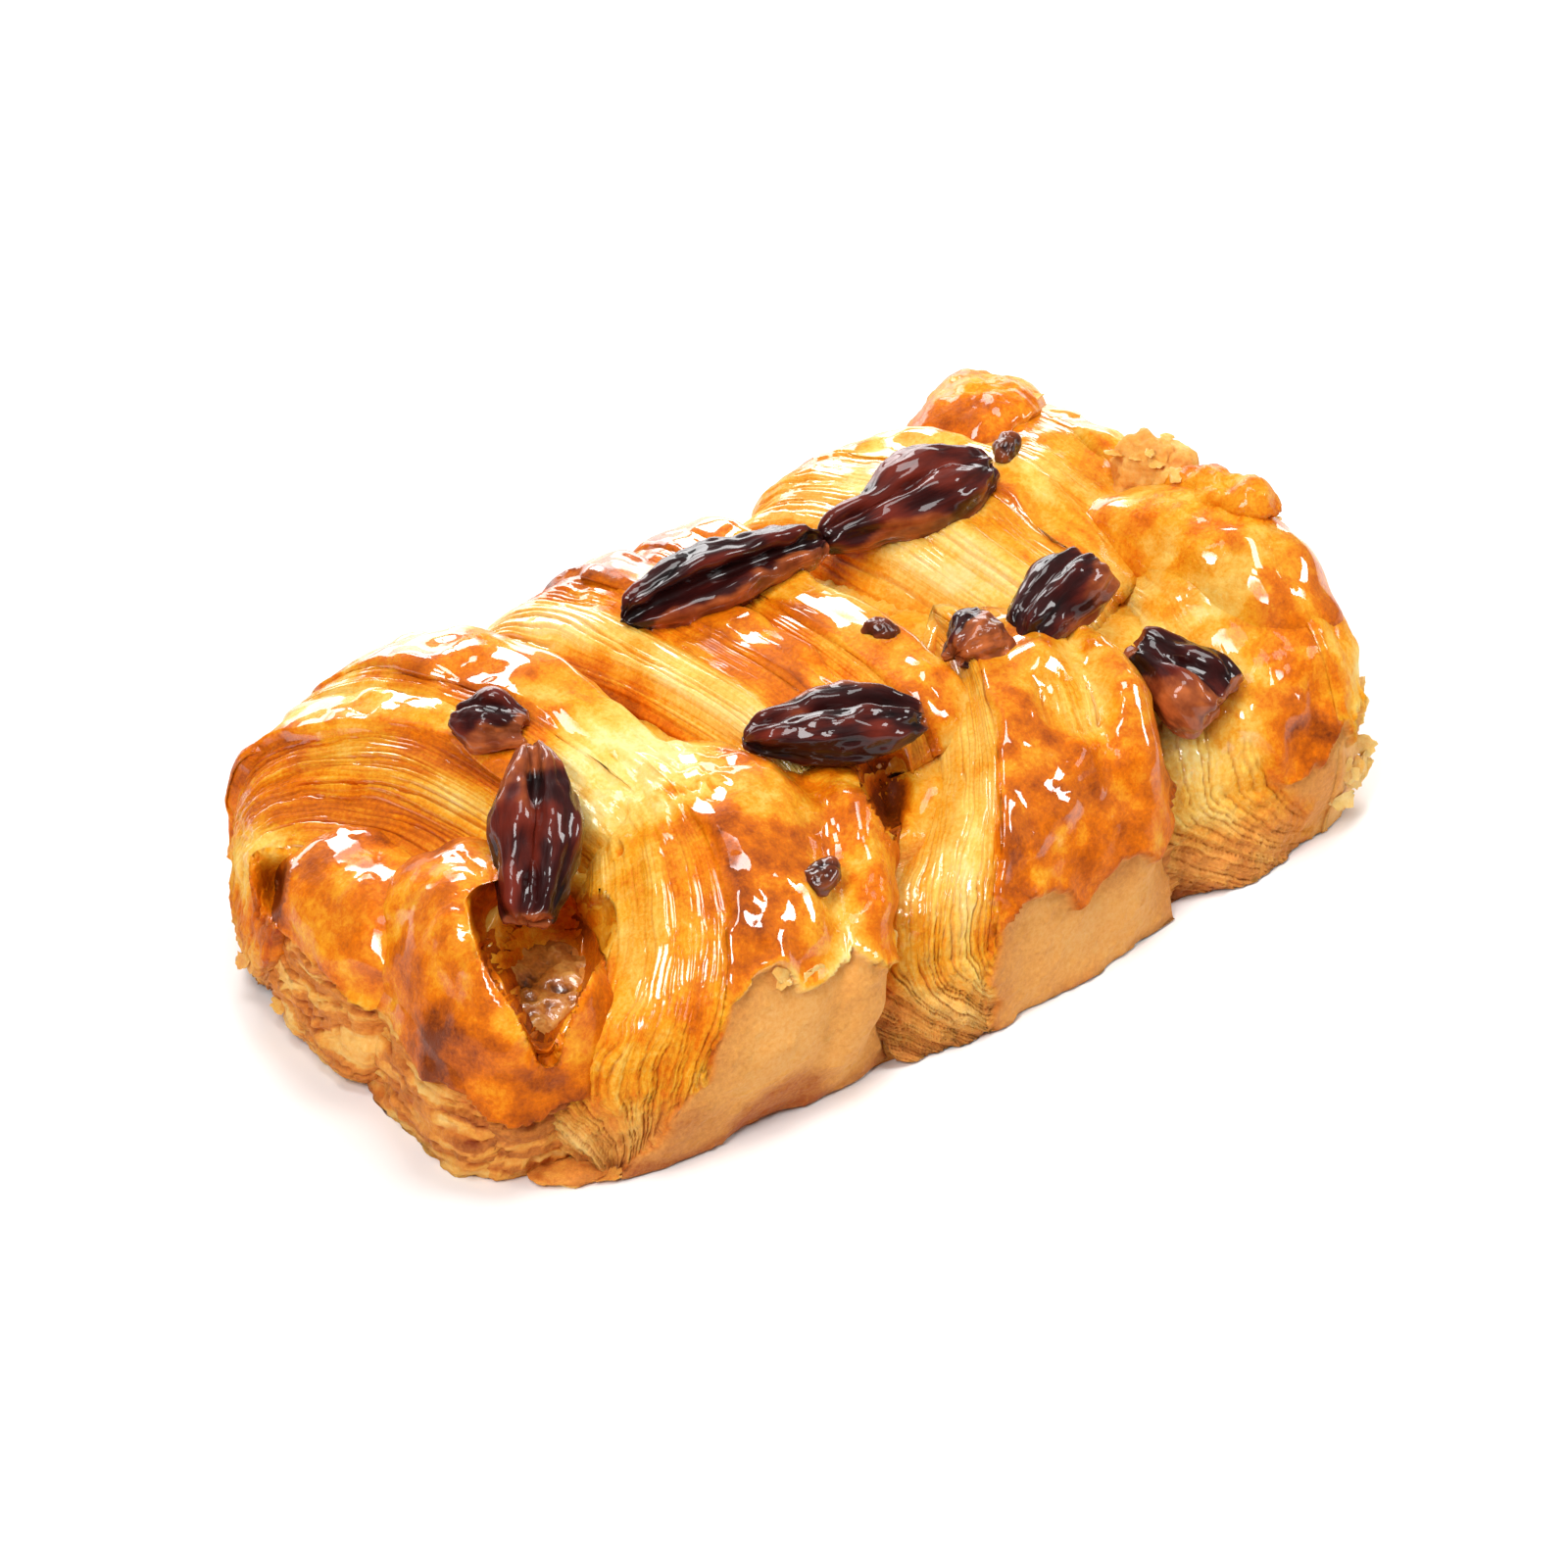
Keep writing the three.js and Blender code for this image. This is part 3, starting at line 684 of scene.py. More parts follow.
def layer_relief(layer, along, key, depth, opened=1.0):
    """Edges of thin dough layers: how far they stand out, the painted shade in the slits between them, and
    how light they are.

    opened is how far the layers have come apart. Closed ones only swell in soft bundles.
    """
    layer = layer + 0.7 * (soft_noise(spread(layer * 0.8, along * 1.5, key), seed=14) - 0.5)
    number = np.floor(layer)
    part = layer - number
    lip = rise(0, 0.4, part) * (1 - 0.5 * part)
    stand = soft_noise(spread(number * 0.7, along * 6, key), seed=11) - 0.5
    bundle = soft_noise(spread(layer / 3.6, along * 2.2, key), seed=12) - 0.5
    gape = rise(0.35, 0.65, soft_noise(spread(number, along * 5, key), seed=13))
    edge = opened * (mix(0.3, 2, gape) * (lip - 0.7) + 1.2 * stand)
    # painted shade in the gap just behind each layer's edge
    slit_shade = opened * (1 - rise(0.05, 0.45, part)) * mix(0.15, 1, gape)
    return depth * (edge + 2.2 * bundle), slit_shade, stand * opened + 1.2 * bundle


def skin_relief(points):
    """The uneven, blistered surface of glazed skin."""
    soft = uneven(points, LUMPS) + uneven(points, RIPPLES)
    return soft + beads(points, BLISTERS) + uneven(points, WRINKLES)


def skin_browning(points):
    """How much darker or lighter glazed skin is baked: in patches, more on its crests, and finely mottled."""
    crests = 0.125 * uneven(points, LUMPS)
    return uneven(points, PATCHES) + crests + uneven(points, MOTTLE)


def spotted(tone, points):
    """A tone with the brown and the pale spots at those points, some of the pale ones painted sheen, from 0
    to 1.
    """
    return np.clip(tone + spot_sum(points, BROWN_SPOTS) - spot_sum(points, PALE_AND_SHEEN_SPOTS), 0, 1)


def wetness(points, normal):
    """How much glaze lies on the dough: brushed on from above, in patches, and less on steep sides."""
    patches = 0.12 + 0.88 * rise(0.38, 0.44, rough_noise(points / GLAZE_WIDTH, seed=37))
    steep = mix(0.1, 1, rise(0.15, 0.65, normal[..., 2]))
    high = rise(*GLAZE_HEIGHTS, points[..., 2])
    dry = np.clip(spot_sum(points, DRY_SPOTS), 0, 1)
    return np.clip(high * patches * steep, 0, 1) * (1 - dry)


def torn_pits(points):
    """How far the pits of torn crumb sink in."""
    return np.clip(PIT_BELOW - rough_noise(points / PIT_WIDTH, seed=35, octaves=2), 0, None)


def torn_relief(points, pits):
    """Soft, torn crumb with pits."""
    return uneven(points, TORN_CRUMB) + uneven(points, TORN_GRAIN) - PIT_DEPTH * pits


def pit_shade(pits):
    return np.clip(PIT_SHADE * pits, 0, 1)


def strip_grid():
    """Shares across and along a strip, closer together on its band and towards its foot."""
    band_part = np.linspace(0, BAND_SHARE, BAND_COLUMNS, endpoint=False)
    face_part = np.linspace(BAND_SHARE, 1, FACE_COLUMNS)
    columns = np.concatenate([band_part, face_part])
    return np.meshgrid(columns, np.linspace(0, 1, STRIP_ROWS) ** ROW_CROWDING)


def strip_zones(strip, key, form, share, along):
    """Shares across a strip's band and face, and where it is skin, glazed, torn, loose and opened."""
    band = np.clip(share / BAND_SHARE, 0, 1)
    face = np.clip((share - BAND_SHARE) / (1 - BAND_SHARE), 0, 1)
    ragged = rough_noise(spread(along * 9, key, 0), seed=41) - 0.5
    skin = rise(-0.012, 0.012, share - BAND_SHARE * (1 - 0.2 * ragged))
    start, cover = strip["smooth"]
    patchy = band + uneven(form, SKIN_PATCHES) - 0.5 * (1 - rise(0.15, 0.45, along))
    skin = np.maximum(skin, cover * rise(start - 0.1, start + 0.1, patchy))
    open_spots = spot_sum(form, OPEN_SPOTS)
    edge = rough_noise(spread(face * 5, band * 4, key), seed=43, octaves=4) - 0.5
    from_wash = along - mix(*strip["wash"], face) - 0.16 * edge
    loose = 1 - rise(0.2, 0.6, along)
    return SimpleNamespace(
        band=band, face=face, edge=edge, from_wash=from_wash, loose=loose,
        skin=skin * (1 - np.clip(open_spots, 0, 1)),
        glazed=rise(-0.008, 0.008, from_wash),
        torn=np.clip(spot_sum(form, TORN_SPOTS), 0, 1),
        opened=np.maximum(mix(*strip["opened"], loose), 0.8 * open_spots))


def strip_layer(strip, key, zones, along):
    """The number of the layer at each point of a strip, counted across its band and turned along its foot."""
    band = zones.band
    layer = strip["layers"] * band + FACE_LAYERS * zones.face
    layer = layer - strip["sweep"] * np.clip(1 - along / SWEEP_TOP, 0, 1) ** 2
    layer = layer + 3 * (rough_noise(spread(band * 3, along * 3, key), seed=45) - 0.5)
    return layer + 1.1 * (rough_noise(spread(band * 10, along * 14, key), seed=47, octaves=2) - 0.5)


def strip_relief(form, zones, layers, pits):
    """How far a strip's layers, skin, bare side and torn crumb stand out."""
    layers = layers + zones.loose * uneven(form, LOOSE_EDGES)
    curl = EDGE_CURL * zones.glazed * np.exp(-zones.from_wash / EDGE_SHARE)
    skin = skin_relief(form)
    side = 0.7 * skin + beads(form, BUBBLES)
    relief = mix(layers, mix(side, skin, zones.glazed) + curl, zones.skin)
    relief = relief + STRIP_SKIN * zones.skin * zones.glazed * (1 - zones.torn) + uneven(form, SWELLS)
    return mix(relief, torn_relief(form, pits), zones.torn)


def strip_tone(strip, form, zones, along, bundle, pits):
    """How brown each point of a strip is baked, with painted shade in its creases."""
    blotch = uneven(form, BLOTCHES)
    # painted shade where the band dips into the crease under the strip before
    crease_shade = strip["crease_shade"] * (1 - rise(0, 0.4, zones.band))
    ridge = 0.15 * rise(0.75, 1, zones.band)
    tone_band = strip["band_tone"] - 0.25 * bundle + 0.45 * blotch + crease_shade + ridge
    # browner beside the ridge; the second part is painted shade where the face's far edge tucks into a crease
    lip = 0.16 * np.exp(-((zones.face - 0.03) / 0.1) ** 2) + 0.16 * rise(0.8, 1, zones.face)
    edge = strip["edge_tone"] * zones.glazed * np.exp(-zones.from_wash / EDGE_SHARE)
    tone_face = strip["face_tone"] + skin_browning(form) * mix(0.3, 1, zones.glazed) + lip + edge
    tone = mix(tone_band, tone_face, zones.skin)
    tone = mix(tone, 0.27 + 0.7 * blotch + 0.35 * pit_shade(pits), zones.torn)
    toasted = 0.26 * (1 - rise(0.01, 0.07, along + 0.06 * zones.edge))
    return spotted(tone + toasted, form)


def make_strip(name, strip, key, material):
    """A folded strip of dough with its layered band, its glazed face and its bare side."""
    share, along = strip_grid()
    form, loaf_out = strip_form(strip, share, along)
    normal = grid_normals(form, False)
    flip = np.sum(normal * loaf_out) < 0
    if flip:
        normal = -normal
    zones = strip_zones(strip, key, form, share, along)
    layer = strip_layer(strip, key, zones, along)
    layers, slit_shade, bundle = layer_relief(layer, along, key, STRIP_LAYER_DEPTH, zones.opened)
    pits = torn_pits(form)
    relief = strip_relief(form, zones, layers, pits)
    points = form + normal * relief[..., None]
    points[..., 2] = np.maximum(points[..., 2], STRIP_FLOOR)
    bare = 1 - zones.skin
    whole = 1 - zones.torn
    dry_foot = 0.75 * bare * (1 - rise(0.08, 0.34, along))
    fields = {
        "tone": strip_tone(strip, form, zones, along, bundle, pits),
        "plain": np.maximum(zones.skin * (1 - zones.glazed), dry_foot) * whole,
        "slit_shade": np.clip(mix(slit_shade * bare, 0.15 * pit_shade(pits), zones.torn), 0, 1),
        "wet": wetness(form, normal) * (1 - 0.4 * zones.torn) * mix(zones.glazed, 1, 0.1),
        "lined": bare * whole * zones.opened,
        "grain": spread(layer, along * 60, key * GRAIN_STEP),
    }
    middle = np.array([form[..., 0].mean(), strip["side"] * STRIP_BACK["y"], STRIP_BACK["z"]])
    make_piece(name, closed_sheet(points, middle, fields, flip), material, "crust", "braid")


def make_lobe(name, form, key, material):
    """A folded lobe: glazed skin above a ragged, sloping line, layered crumb below it."""
    shape = block_form(form, ball_directions(*form["mesh"]))
    normal = grid_normals(shape, True)
    line = form["skin"][0] + form["skin"][1] * shape[..., 1]
    skin = rise(-0.25, 0.25, shape[..., 2] - line - uneven(shape, LOBE_SKIN_EDGE))
    layer = shape[..., 2] / LOBE_LAYER_PITCH + uneven(shape, LOBE_WAVES)
    beside = (shape[..., 0] + shape[..., 1]) / 30
    layered = form.get("layered", 1)
    layers, slit_shade, _ = layer_relief(layer, beside, key, LOBE_LAYER_DEPTH, layered)
    pits = torn_pits(shape)
    relief = mix(layers + 0.9 * torn_relief(shape, pits), skin_relief(shape) + LOBE_SKIN, skin)
    relief = form.get("rough", 1) * relief + form.get("crag", 0) * uneven(shape, CRAGS)
    points = shape + normal * relief[..., None]
    points[..., 2] = np.maximum(points[..., 2], 0)
    browning = skin_browning(shape)
    ribbon = rise(0.3, 0.6, soft_noise(spread(np.floor(layer), beside * 4, key), seed=15))
    tone_crumb = 0.36 + 0.35 * ribbon * layered + 0.7 * browning
    fields = {
        "tone": spotted(mix(tone_crumb, form["tone"] + browning, skin), shape),
        "plain": 0.6 * (1 - skin),
        "slit_shade": np.clip((slit_shade + 0.8 * pit_shade(pits)) * (1 - skin), 0, 1),
        "wet": skin * wetness(shape, normal),
        "lined": 0.7 * layered * (1 - skin),
        "grain": spread(layer, beside * 30, key * GRAIN_STEP),
    }
    make_piece(name, closed_ball(points, fields), material, "crust", "braid")


def make_core(material):
    """The inner dough: a crumbly, layered wall that shows at the ends and along the spine."""
    directions = ball_directions(*CORE["mesh"])
    shape = core_form(directions)
    normal = grid_normals(shape, True)
    layer = shape[..., 2] / CORE["layer_pitch"] + uneven(shape, CORE["waves"])
    around = np.arctan2(directions[..., 1], directions[..., 0])
    layers, slit_shade, bundle = layer_relief(layer, around * 1.5, CORE["key"], CORE["layer_depth"])
    pits = torn_pits(shape)
    crumb = torn_relief(shape, pits)
    wall = 1 - rise(0.5, 0.9, np.abs(normal[..., 2]))
    relief = mix(crumb, layers + 0.5 * crumb, wall)
    points = shape + normal * relief[..., None]
    points[..., 2] = np.maximum(points[..., 2], 0)
    blotch = uneven(shape, BLOTCHES)
    fields = {
        "tone": np.clip(0.36 - 0.25 * bundle * wall + 0.35 * blotch, 0, 1),
        "plain": 0.5 * wall,
        "slit_shade": np.clip(slit_shade * wall + 0.7 * pit_shade(pits), 0, 1),
        "wet": 0.25 * (1 - wall),
        "lined": 0.6 * wall,
        "grain": spread(layer, around * 40, CORE["key"]),
    }
    make_piece("inner_dough", closed_ball(points, fields), material, "crust", "braid")


def foot_form(height, around):
    """The smooth form of the foot sheet, which narrows a little upwards."""
    flat = spread(np.cos(around), np.sin(around))
    wide = np.sum(np.abs(flat) ** FOOT["rounding"], axis=-1) ** (-1 / FOOT["rounding"])
    wide = wide * (1 - FOOT["slope"] * height)
    x = flat[..., 0] * wide * FOOT["size"][0] / 2
    y = flat[..., 1] * wide * FOOT["size"][1] / 2
    return spread(x, y, height * FOOT["size"][2])


def make_foot(material):
    """The flat sheet of dough round the base, with a flaky edge."""
    rows, columns = FOOT["mesh"]
    turns = np.linspace(0, 2 * math.pi, columns, endpoint=False)
    height, around = np.meshgrid(np.linspace(0, 1, rows), turns, indexing="ij")
    shape = foot_form(height, around)
    normal = grid_normals(shape, True)
    layer = shape[..., 2] / FOOT["layer_pitch"] + uneven(shape, FOOT["waves"])
    layers, slit_shade, bundle = layer_relief(layer, around * 1.5, FOOT["key"], FOOT["layer_depth"])
    relief = layers + uneven(shape, FOOT_EDGES)
    points = shape + normal * relief[..., None]
    points[..., 2] = shape[..., 2]
    blotch = uneven(shape, BLOTCHES)
    toasted = 0.2 * (1 - rise(0, 0.3, height))
    fields = {
        "tone": np.clip(0.5 - 0.25 * bundle + 0.6 * blotch + toasted, 0, 1),
        "plain": np.full(height.shape, 0.7),
        "slit_shade": slit_shade,
        "wet": np.zeros(height.shape),
        "lined": np.full(height.shape, 0.6),
        "grain": spread(layer, around * 40, FOOT["key"]),
    }
    ends = [(0, 0, 0), (0, 0, FOOT["size"][2])]
    make_piece("base_sheet", closed_ball(points, fields, ends), material, "crust", "braid")


def scrap_form(size, key):
    """A thin, hardly curled scrap of baked dough, about as wide as size."""
    x, y, z = np.moveaxis(round_out(ball_directions(*SCRAP_MESH), SCRAP_ROUNDING), -1, 0)
    ragged = 0.4 + 1.2 * rough_noise(spread(x * 1.8, y * 1.8, key * SCRAP_STEP), seed=95)
    curl = 0.07 * y ** 2 + 0.2 * (soft_noise(spread(x, y, key * SCRAP_STEP), seed=97) - 0.5)
    return spread(x * ragged * size / 2, y * ragged * size / 3, size * curl + SCRAP_THICKNESS / 2 * z)


def flake_places(chance):
    """Where flakes sit: each a place, the directions across, up and out there, a size and a tone."""
    for name, share_range, along_range, count, size, tone in FLAKE_RUNS:
        for _ in range(count):
            shares = np.full(2, chance.uniform(*share_range))
            along = chance.uniform(*along_range)
            points, outs = strip_form(STRIPS[name], shares, np.array([along, along + 0.02]))
            up = (points[1] - points[0]) / np.linalg.norm(points[1] - points[0])
            axes = np.stack([np.cross(up, outs[0]), up, outs[0]])
            yield points[0] + FLAKE_LIFT * outs[0], axes, size * chance.uniform(*FLAKE_SIZES), tone
    for middle, reach, out, count, size, tone in FLAKE_HEAPS:
        out = np.array(out) / np.linalg.norm(out)
        across = np.cross((0, 0.2, 1), out)
        across = across / np.linalg.norm(across)
        axes = np.stack([across, np.cross(out, across), out])
        for _ in range(count):
            place = np.array(middle) + chance.uniform(-1, 1, 3) * reach
            yield place, axes, size * chance.uniform(*FLAKE_SIZES), tone


def make_flakes(material):
    """Loose flakes and crumbs of baked dough along torn edges, joined into one mesh."""
    chance = np.random.default_rng(FLAKE_SEED)
    all_points, all_faces, all_places, all_tones = [], [], [], []
    first = 0
    for key, (place, axes, size, tone) in enumerate(flake_places(chance)):
        tilt = np.array(Euler([chance.uniform(*limits) for limits in FLAKE_TILTS]).to_matrix())
        shape = scrap_form(size, key) @ tilt.T @ axes + place
        points, faces, places, _ = closed_ball(shape, {})
        points[:, 2] = np.maximum(points[:, 2], FLAKE_FLOOR)
        all_points.append(points)
        all_faces += [[first + corner for corner in face] for face in faces]
        all_places += places
        all_tones.append(np.full(len(points), tone + chance.uniform(-FLAKE_TONES, FLAKE_TONES)))
        first += len(points)
    points = np.concatenate(all_points)
    fields = {
        "tone": np.concatenate(all_tones) + 0.3 * (rough_noise(points / 1.5, seed=51) - 0.5),
        "plain": np.full(first, 0.6),
        "slit_shade": np.zeros(first),
        "wet": np.full(first, 0.15),
        "lined": np.full(first, 0.3),
        "grain": points,
    }
    make_piece("loose_flakes", (points, all_faces, all_places, fields), material, "crust", "braid")


# Nuts and filling

# How far a nut's furrows, lumps and wrinkles stand out, and how long, wide and high the last two are
FURROW_HEIGHT = 1.8
NUT_LUMP_HEIGHT = 1.3
NUT_WRINKLE_HEIGHT = 0.55
NUT_LUMP_SIZE = (4.5, 2.6, 2.6)
NUT_WRINKLE_SIZE = (3, 0.9, 0.9)
# Sets the lumps of one nut apart from those of the next
NUT_STEP = 9
# Kinds of unevenness of the chips and the filling, as for dough, and how far they stand out
CHIP_LUMPS = (1.6, 1, 89, 3)
CHIP_RELIEF = 1.2
FILLING_LUMPS = (4, 1, 91, 2)
FILLING_CRUMBS = (1.7, 3, 93, 2)
FILLING_RELIEF = (2, 1.6)


def pecan_form(nut, directions):
    """The smooth form of a nut before it is turned, and the same points on a rounded unit block."""
    half = np.array(nut["size"]) / 2
    point = round_out(directions, PECAN_ROUNDING)
    x, y, z = np.moveaxis(point, -1, 0)
    groove = nut["groove"] * np.exp(-(y / PECAN_GROOVE_WIDTH) ** 2) * np.maximum(0, z)
    tall = np.where(z > 0, z - groove, z * PECAN_UNDERSIDE)
    swell = 1 + nut["swell"] * np.sin(PECAN_SWELLS * x + nut["phase"])
    wide = y * (1 - nut["taper"] * x) * swell + nut["bend"] * x ** 2
    return spread(np.clip(x, *nut["ends"]), wide, tall * swell) * half, point


def broken_ends(nut, x):
    """Where a nut is broken off, from 0 to 1."""
    low, high = nut["ends"]
    at_high = rise(high - 0.03, high + 0.01, x) * (high < 1)
    at_low = rise(low + 0.03, low - 0.01, x) * (low > -1)
    return np.clip(at_high + at_low, 0, 1)


def make_pecan(name, nut, key, material):
    """A glazed pecan half or piece: lumpy, wrinkled skin, a groove, and lighter flesh where it is broken."""
    local, point = pecan_form(nut, lying_ball(*PECAN_MESH))
    normal = grid_normals(local, True)
    x, y, z = np.moveaxis(point, -1, 0)
    round_it = np.arctan2(z, y)
    ring = spread(np.cos(round_it) * 1.7, np.sin(round_it) * 1.7, x * 0.9 + key * 5)
    furrow = rough_noise(ring, seed=81, octaves=2) - 0.5
    lump = rough_noise(local / NUT_LUMP_SIZE + key * NUT_STEP, seed=87, octaves=2) - 0.5
    wrinkle = rough_noise(local / NUT_WRINKLE_SIZE + key * NUT_STEP, seed=88, octaves=2) - 0.5
    relief = FURROW_HEIGHT * furrow + NUT_LUMP_HEIGHT * lump + NUT_WRINKLE_HEIGHT * wrinkle
    points = (local + normal * relief[..., None]) @ turn_of(nut).T + nut["at"]
    *side, much = nut["bare"]
    facing = point @ (np.array(side) / np.linalg.norm(side))
    bare = rise(0.75 - 0.5 * much, 0.95 - 0.5 * much, facing + 0.9 * lump)
    fields = {
        "flesh": np.clip(0.9 * broken_ends(nut, x) + bare * mix(0.5, 1, rise(-0.1, 0.1, wrinkle)), 0, 1),
        "furrow": np.clip(0.5 - 1.2 * furrow - 1.2 * lump, 0, 1),
        "grain": spread(round_it * 6, x * 8, key * 3.1),
    }
    make_piece(name + "_glazed", closed_ball(points, fields), material, "pecan", name)


def make_chips(material):
    """The small nut bits that are baked on to the dough."""
    for number, chip in enumerate(CHIPS):
        shape = block_form(chip, ball_directions(*CHIP_MESH))
        lump = uneven(shape, CHIP_LUMPS)
        points = shape + grid_normals(shape, True) * (CHIP_RELIEF * lump)[..., None]
        fields = {
            "flesh": np.clip(0.3 + lump, 0, 1),
            "furrow": np.clip(0.5 - lump, 0, 1),
            "grain": shape,
        }
        make_piece("nut_chip_%d" % (number + 1), closed_ball(points, fields), material, "pecan", "braid")


def make_filling(material):
    """The nut filling, wet and full of crumbs, inside the plait from end to end."""
    shape = block_form(FILLING, lying_ball(*FILLING["mesh"]))
    lump = uneven(shape, FILLING_LUMPS)
    crumb = 0.5 - np.abs(uneven(shape, FILLING_CRUMBS))
    relief = FILLING_RELIEF[0] * lump + FILLING_RELIEF[1] * crumb
    points = shape + grid_normals(shape, True) * relief[..., None]
    fields = {
        "flesh": np.clip(0.45 + lump + 0.5 * crumb, 0, 1),
        "furrow": np.clip(0.5 - crumb, 0, 1),
        "grain": shape,
    }
    make_piece("nut_filling", closed_ball(points, fields), material, "filling", "filling")


# Materials

STUDIO_LIGHT = 1.1
VALUE = "NodeSocketFloat"
VECTOR = "NodeSocketVector"


def tint(red, green, blue):
    """A colour of 0 to 255 values as Blender's linear light."""
    parts = [c / 255 for c in (red, green, blue)]
    return [c / 12.92 if c <= 0.04045 else ((c + 0.055) / 1.055) ** 2.4 for c in parts] + [1]


def baked(red, green, blue):
    """A colour as it looks under the studio light, as the surface's own colour."""
    return [c / STUDIO_LIGHT for c in tint(red, green, blue)[:3]] + [1]


def set_inputs(tree, node, inputs):
    """Sets values or links for a node's inputs."""
    for key, value in inputs.items():
        if isinstance(value, bpy.types.NodeSocket):
            tree.links.new(value, node.inputs[key])
        else:
            node.inputs[key].default_value = value


def put(tree, kind, inputs=None, **settings):
    """Adds a node, with values or links for its inputs."""
    node = tree.nodes.new(kind)
    for key, value in settings.items():
        setattr(node, key, value)
    set_inputs(tree, node, inputs or {})
    return node


def maths_of(tree, kind, a, b):
    return put(tree, "ShaderNodeMath", {0: a, 1: b}, operation=kind).outputs[0]


def centred(tree, value):
    """A chance value of 0 to 1, moved to lie about zero."""
    return maths_of(tree, "SUBTRACT", value, 0.5)


def plus_part(tree, value, other, share):
    """A value plus a share of another."""
    return maths_of(tree, "ADD", value, maths_of(tree, "MULTIPLY", other, share))


def blend_of(tree, factor, a, b, kind="MIX"):
    node = put(tree, "ShaderNodeMix", {0: factor, 6: a, 7: b}, data_type="RGBA", blend_type=kind)
    return node.outputs[2]


def field_of(tree, name, part="Fac"):
    return put(tree, "ShaderNodeAttribute", attribute_name=name).outputs[part]


def ramp_of(tree, factor, stops):
    node = put(tree, "ShaderNodeValToRGB", {0: factor})
    ramp = node.color_ramp
    while len(ramp.elements) < len(stops):
        ramp.elements.new(0.5)
    for element, (place, colour) in zip(ramp.elements, stops):
        element.position = place
        element.color = colour
    return node.outputs[0]


def noise_of(tree, vector, scale, detail, roughness=0.5):
    inputs = {"Vector": vector, "Scale": scale, "Detail": detail, "Roughness": roughness}
    return put(tree, "ShaderNodeTexNoise", inputs).outputs[0]


def bump_of(tree, height, strength, distance):
    inputs = {"Strength": strength, "Distance": distance, "Height": height}
    return put(tree, "ShaderNodeBump", inputs).outputs[0]


def new_group(name, inputs, outputs):
    """A node group with the given sockets, what comes into it and what goes out."""
    group = bpy.data.node_groups.new(name, "ShaderNodeTree")
    for label, kind, value in inputs:
        socket = group.interface.new_socket(label, in_out="INPUT", socket_type=kind)
        if value is not None:
            socket.default_value = value
    for label in outputs:
        group.interface.new_socket(label, in_out="OUTPUT", socket_type=VALUE)
    return group, group.nodes.new("NodeGroupInput").outputs, group.nodes.new("NodeGroupOutput").inputs


def fine_lines_group():
    """Hair-fine lines along the grain, for layered dough and for nut skin."""
    inputs = [("Grain", VECTOR, None), ("Across", VALUE, 3), ("Length", VALUE, 0.12)]
    group, given, out = new_group("fine_lines", inputs, ["Line"])
    stretch = put(group, "ShaderNodeCombineXYZ", {0: given["Across"], 1: given["Length"], 2: 1.0})
    stretched = {0: given["Grain"], 1: stretch.outputs[0]}
    vector = put(group, "ShaderNodeVectorMath", stretched, operation="MULTIPLY").outputs[0]
    group.links.new(noise_of(group, vector, 1, 3, 0.6), out["Line"])
    return group


def speckle_group():
    """Pores and specks over all of a baked surface."""
    group, given, out = new_group("speckle", [("Scale", VALUE, 1500)], ["Speck", "Blotch"])
    place = put(group, "ShaderNodeTexCoord").outputs["Object"]
    group.links.new(noise_of(group, place, given["Scale"], 2, 0.7), out["Speck"])
    group.links.new(noise_of(group, place, 260, 4, 0.6), out["Blotch"])
    return group


def lines_of(tree, lines, **shape):
    """Fine lines along a piece's own grain, about zero."""
    inputs = {"Grain": field_of(tree, "grain", "Vector"), **shape}
    return centred(tree, put(tree, "ShaderNodeGroup", inputs, node_tree=lines).outputs["Line"])


def new_material(name):
    material = bpy.data.materials.new(name)
    material.use_nodes = True
    tree = material.node_tree
    return material, tree, tree.nodes["Principled BSDF"]


# Colours from pale to dark
DOUGH_TONES = [
    (0.0, baked(255, 228, 150)),
    (0.2, baked(252, 204, 96)),
    (0.42, baked(244, 162, 30)),
    (0.6, baked(228, 116, 2)),
    (0.78, baked(190, 88, 4)),
    (1.0, baked(122, 50, 6)),
]
PLAIN_TONES = [(0.0, baked(250, 206, 136)), (0.5, baked(236, 166, 84)), (1.0, baked(180, 96, 44))]
# the brown of the painted shade in slits between layers and in pits
SLIT_SHADE_TINT = tint(204, 118, 52)
NUT_SKIN_TONES = [(0.0, tint(110, 36, 22)), (0.5, tint(52, 11, 9)), (1.0, tint(16, 3, 3))]
NUT_FLESH_TONES = [(0.3, tint(112, 46, 20)), (0.7, tint(190, 100, 48))]
FILLING_TONES = [(0.1, tint(96, 50, 14)), (0.5, tint(178, 106, 36)), (0.9, tint(216, 158, 76))]
FLOOR_TONES = [(0.3, tint(244, 243, 241)), (0.7, tint(248, 247, 246))]


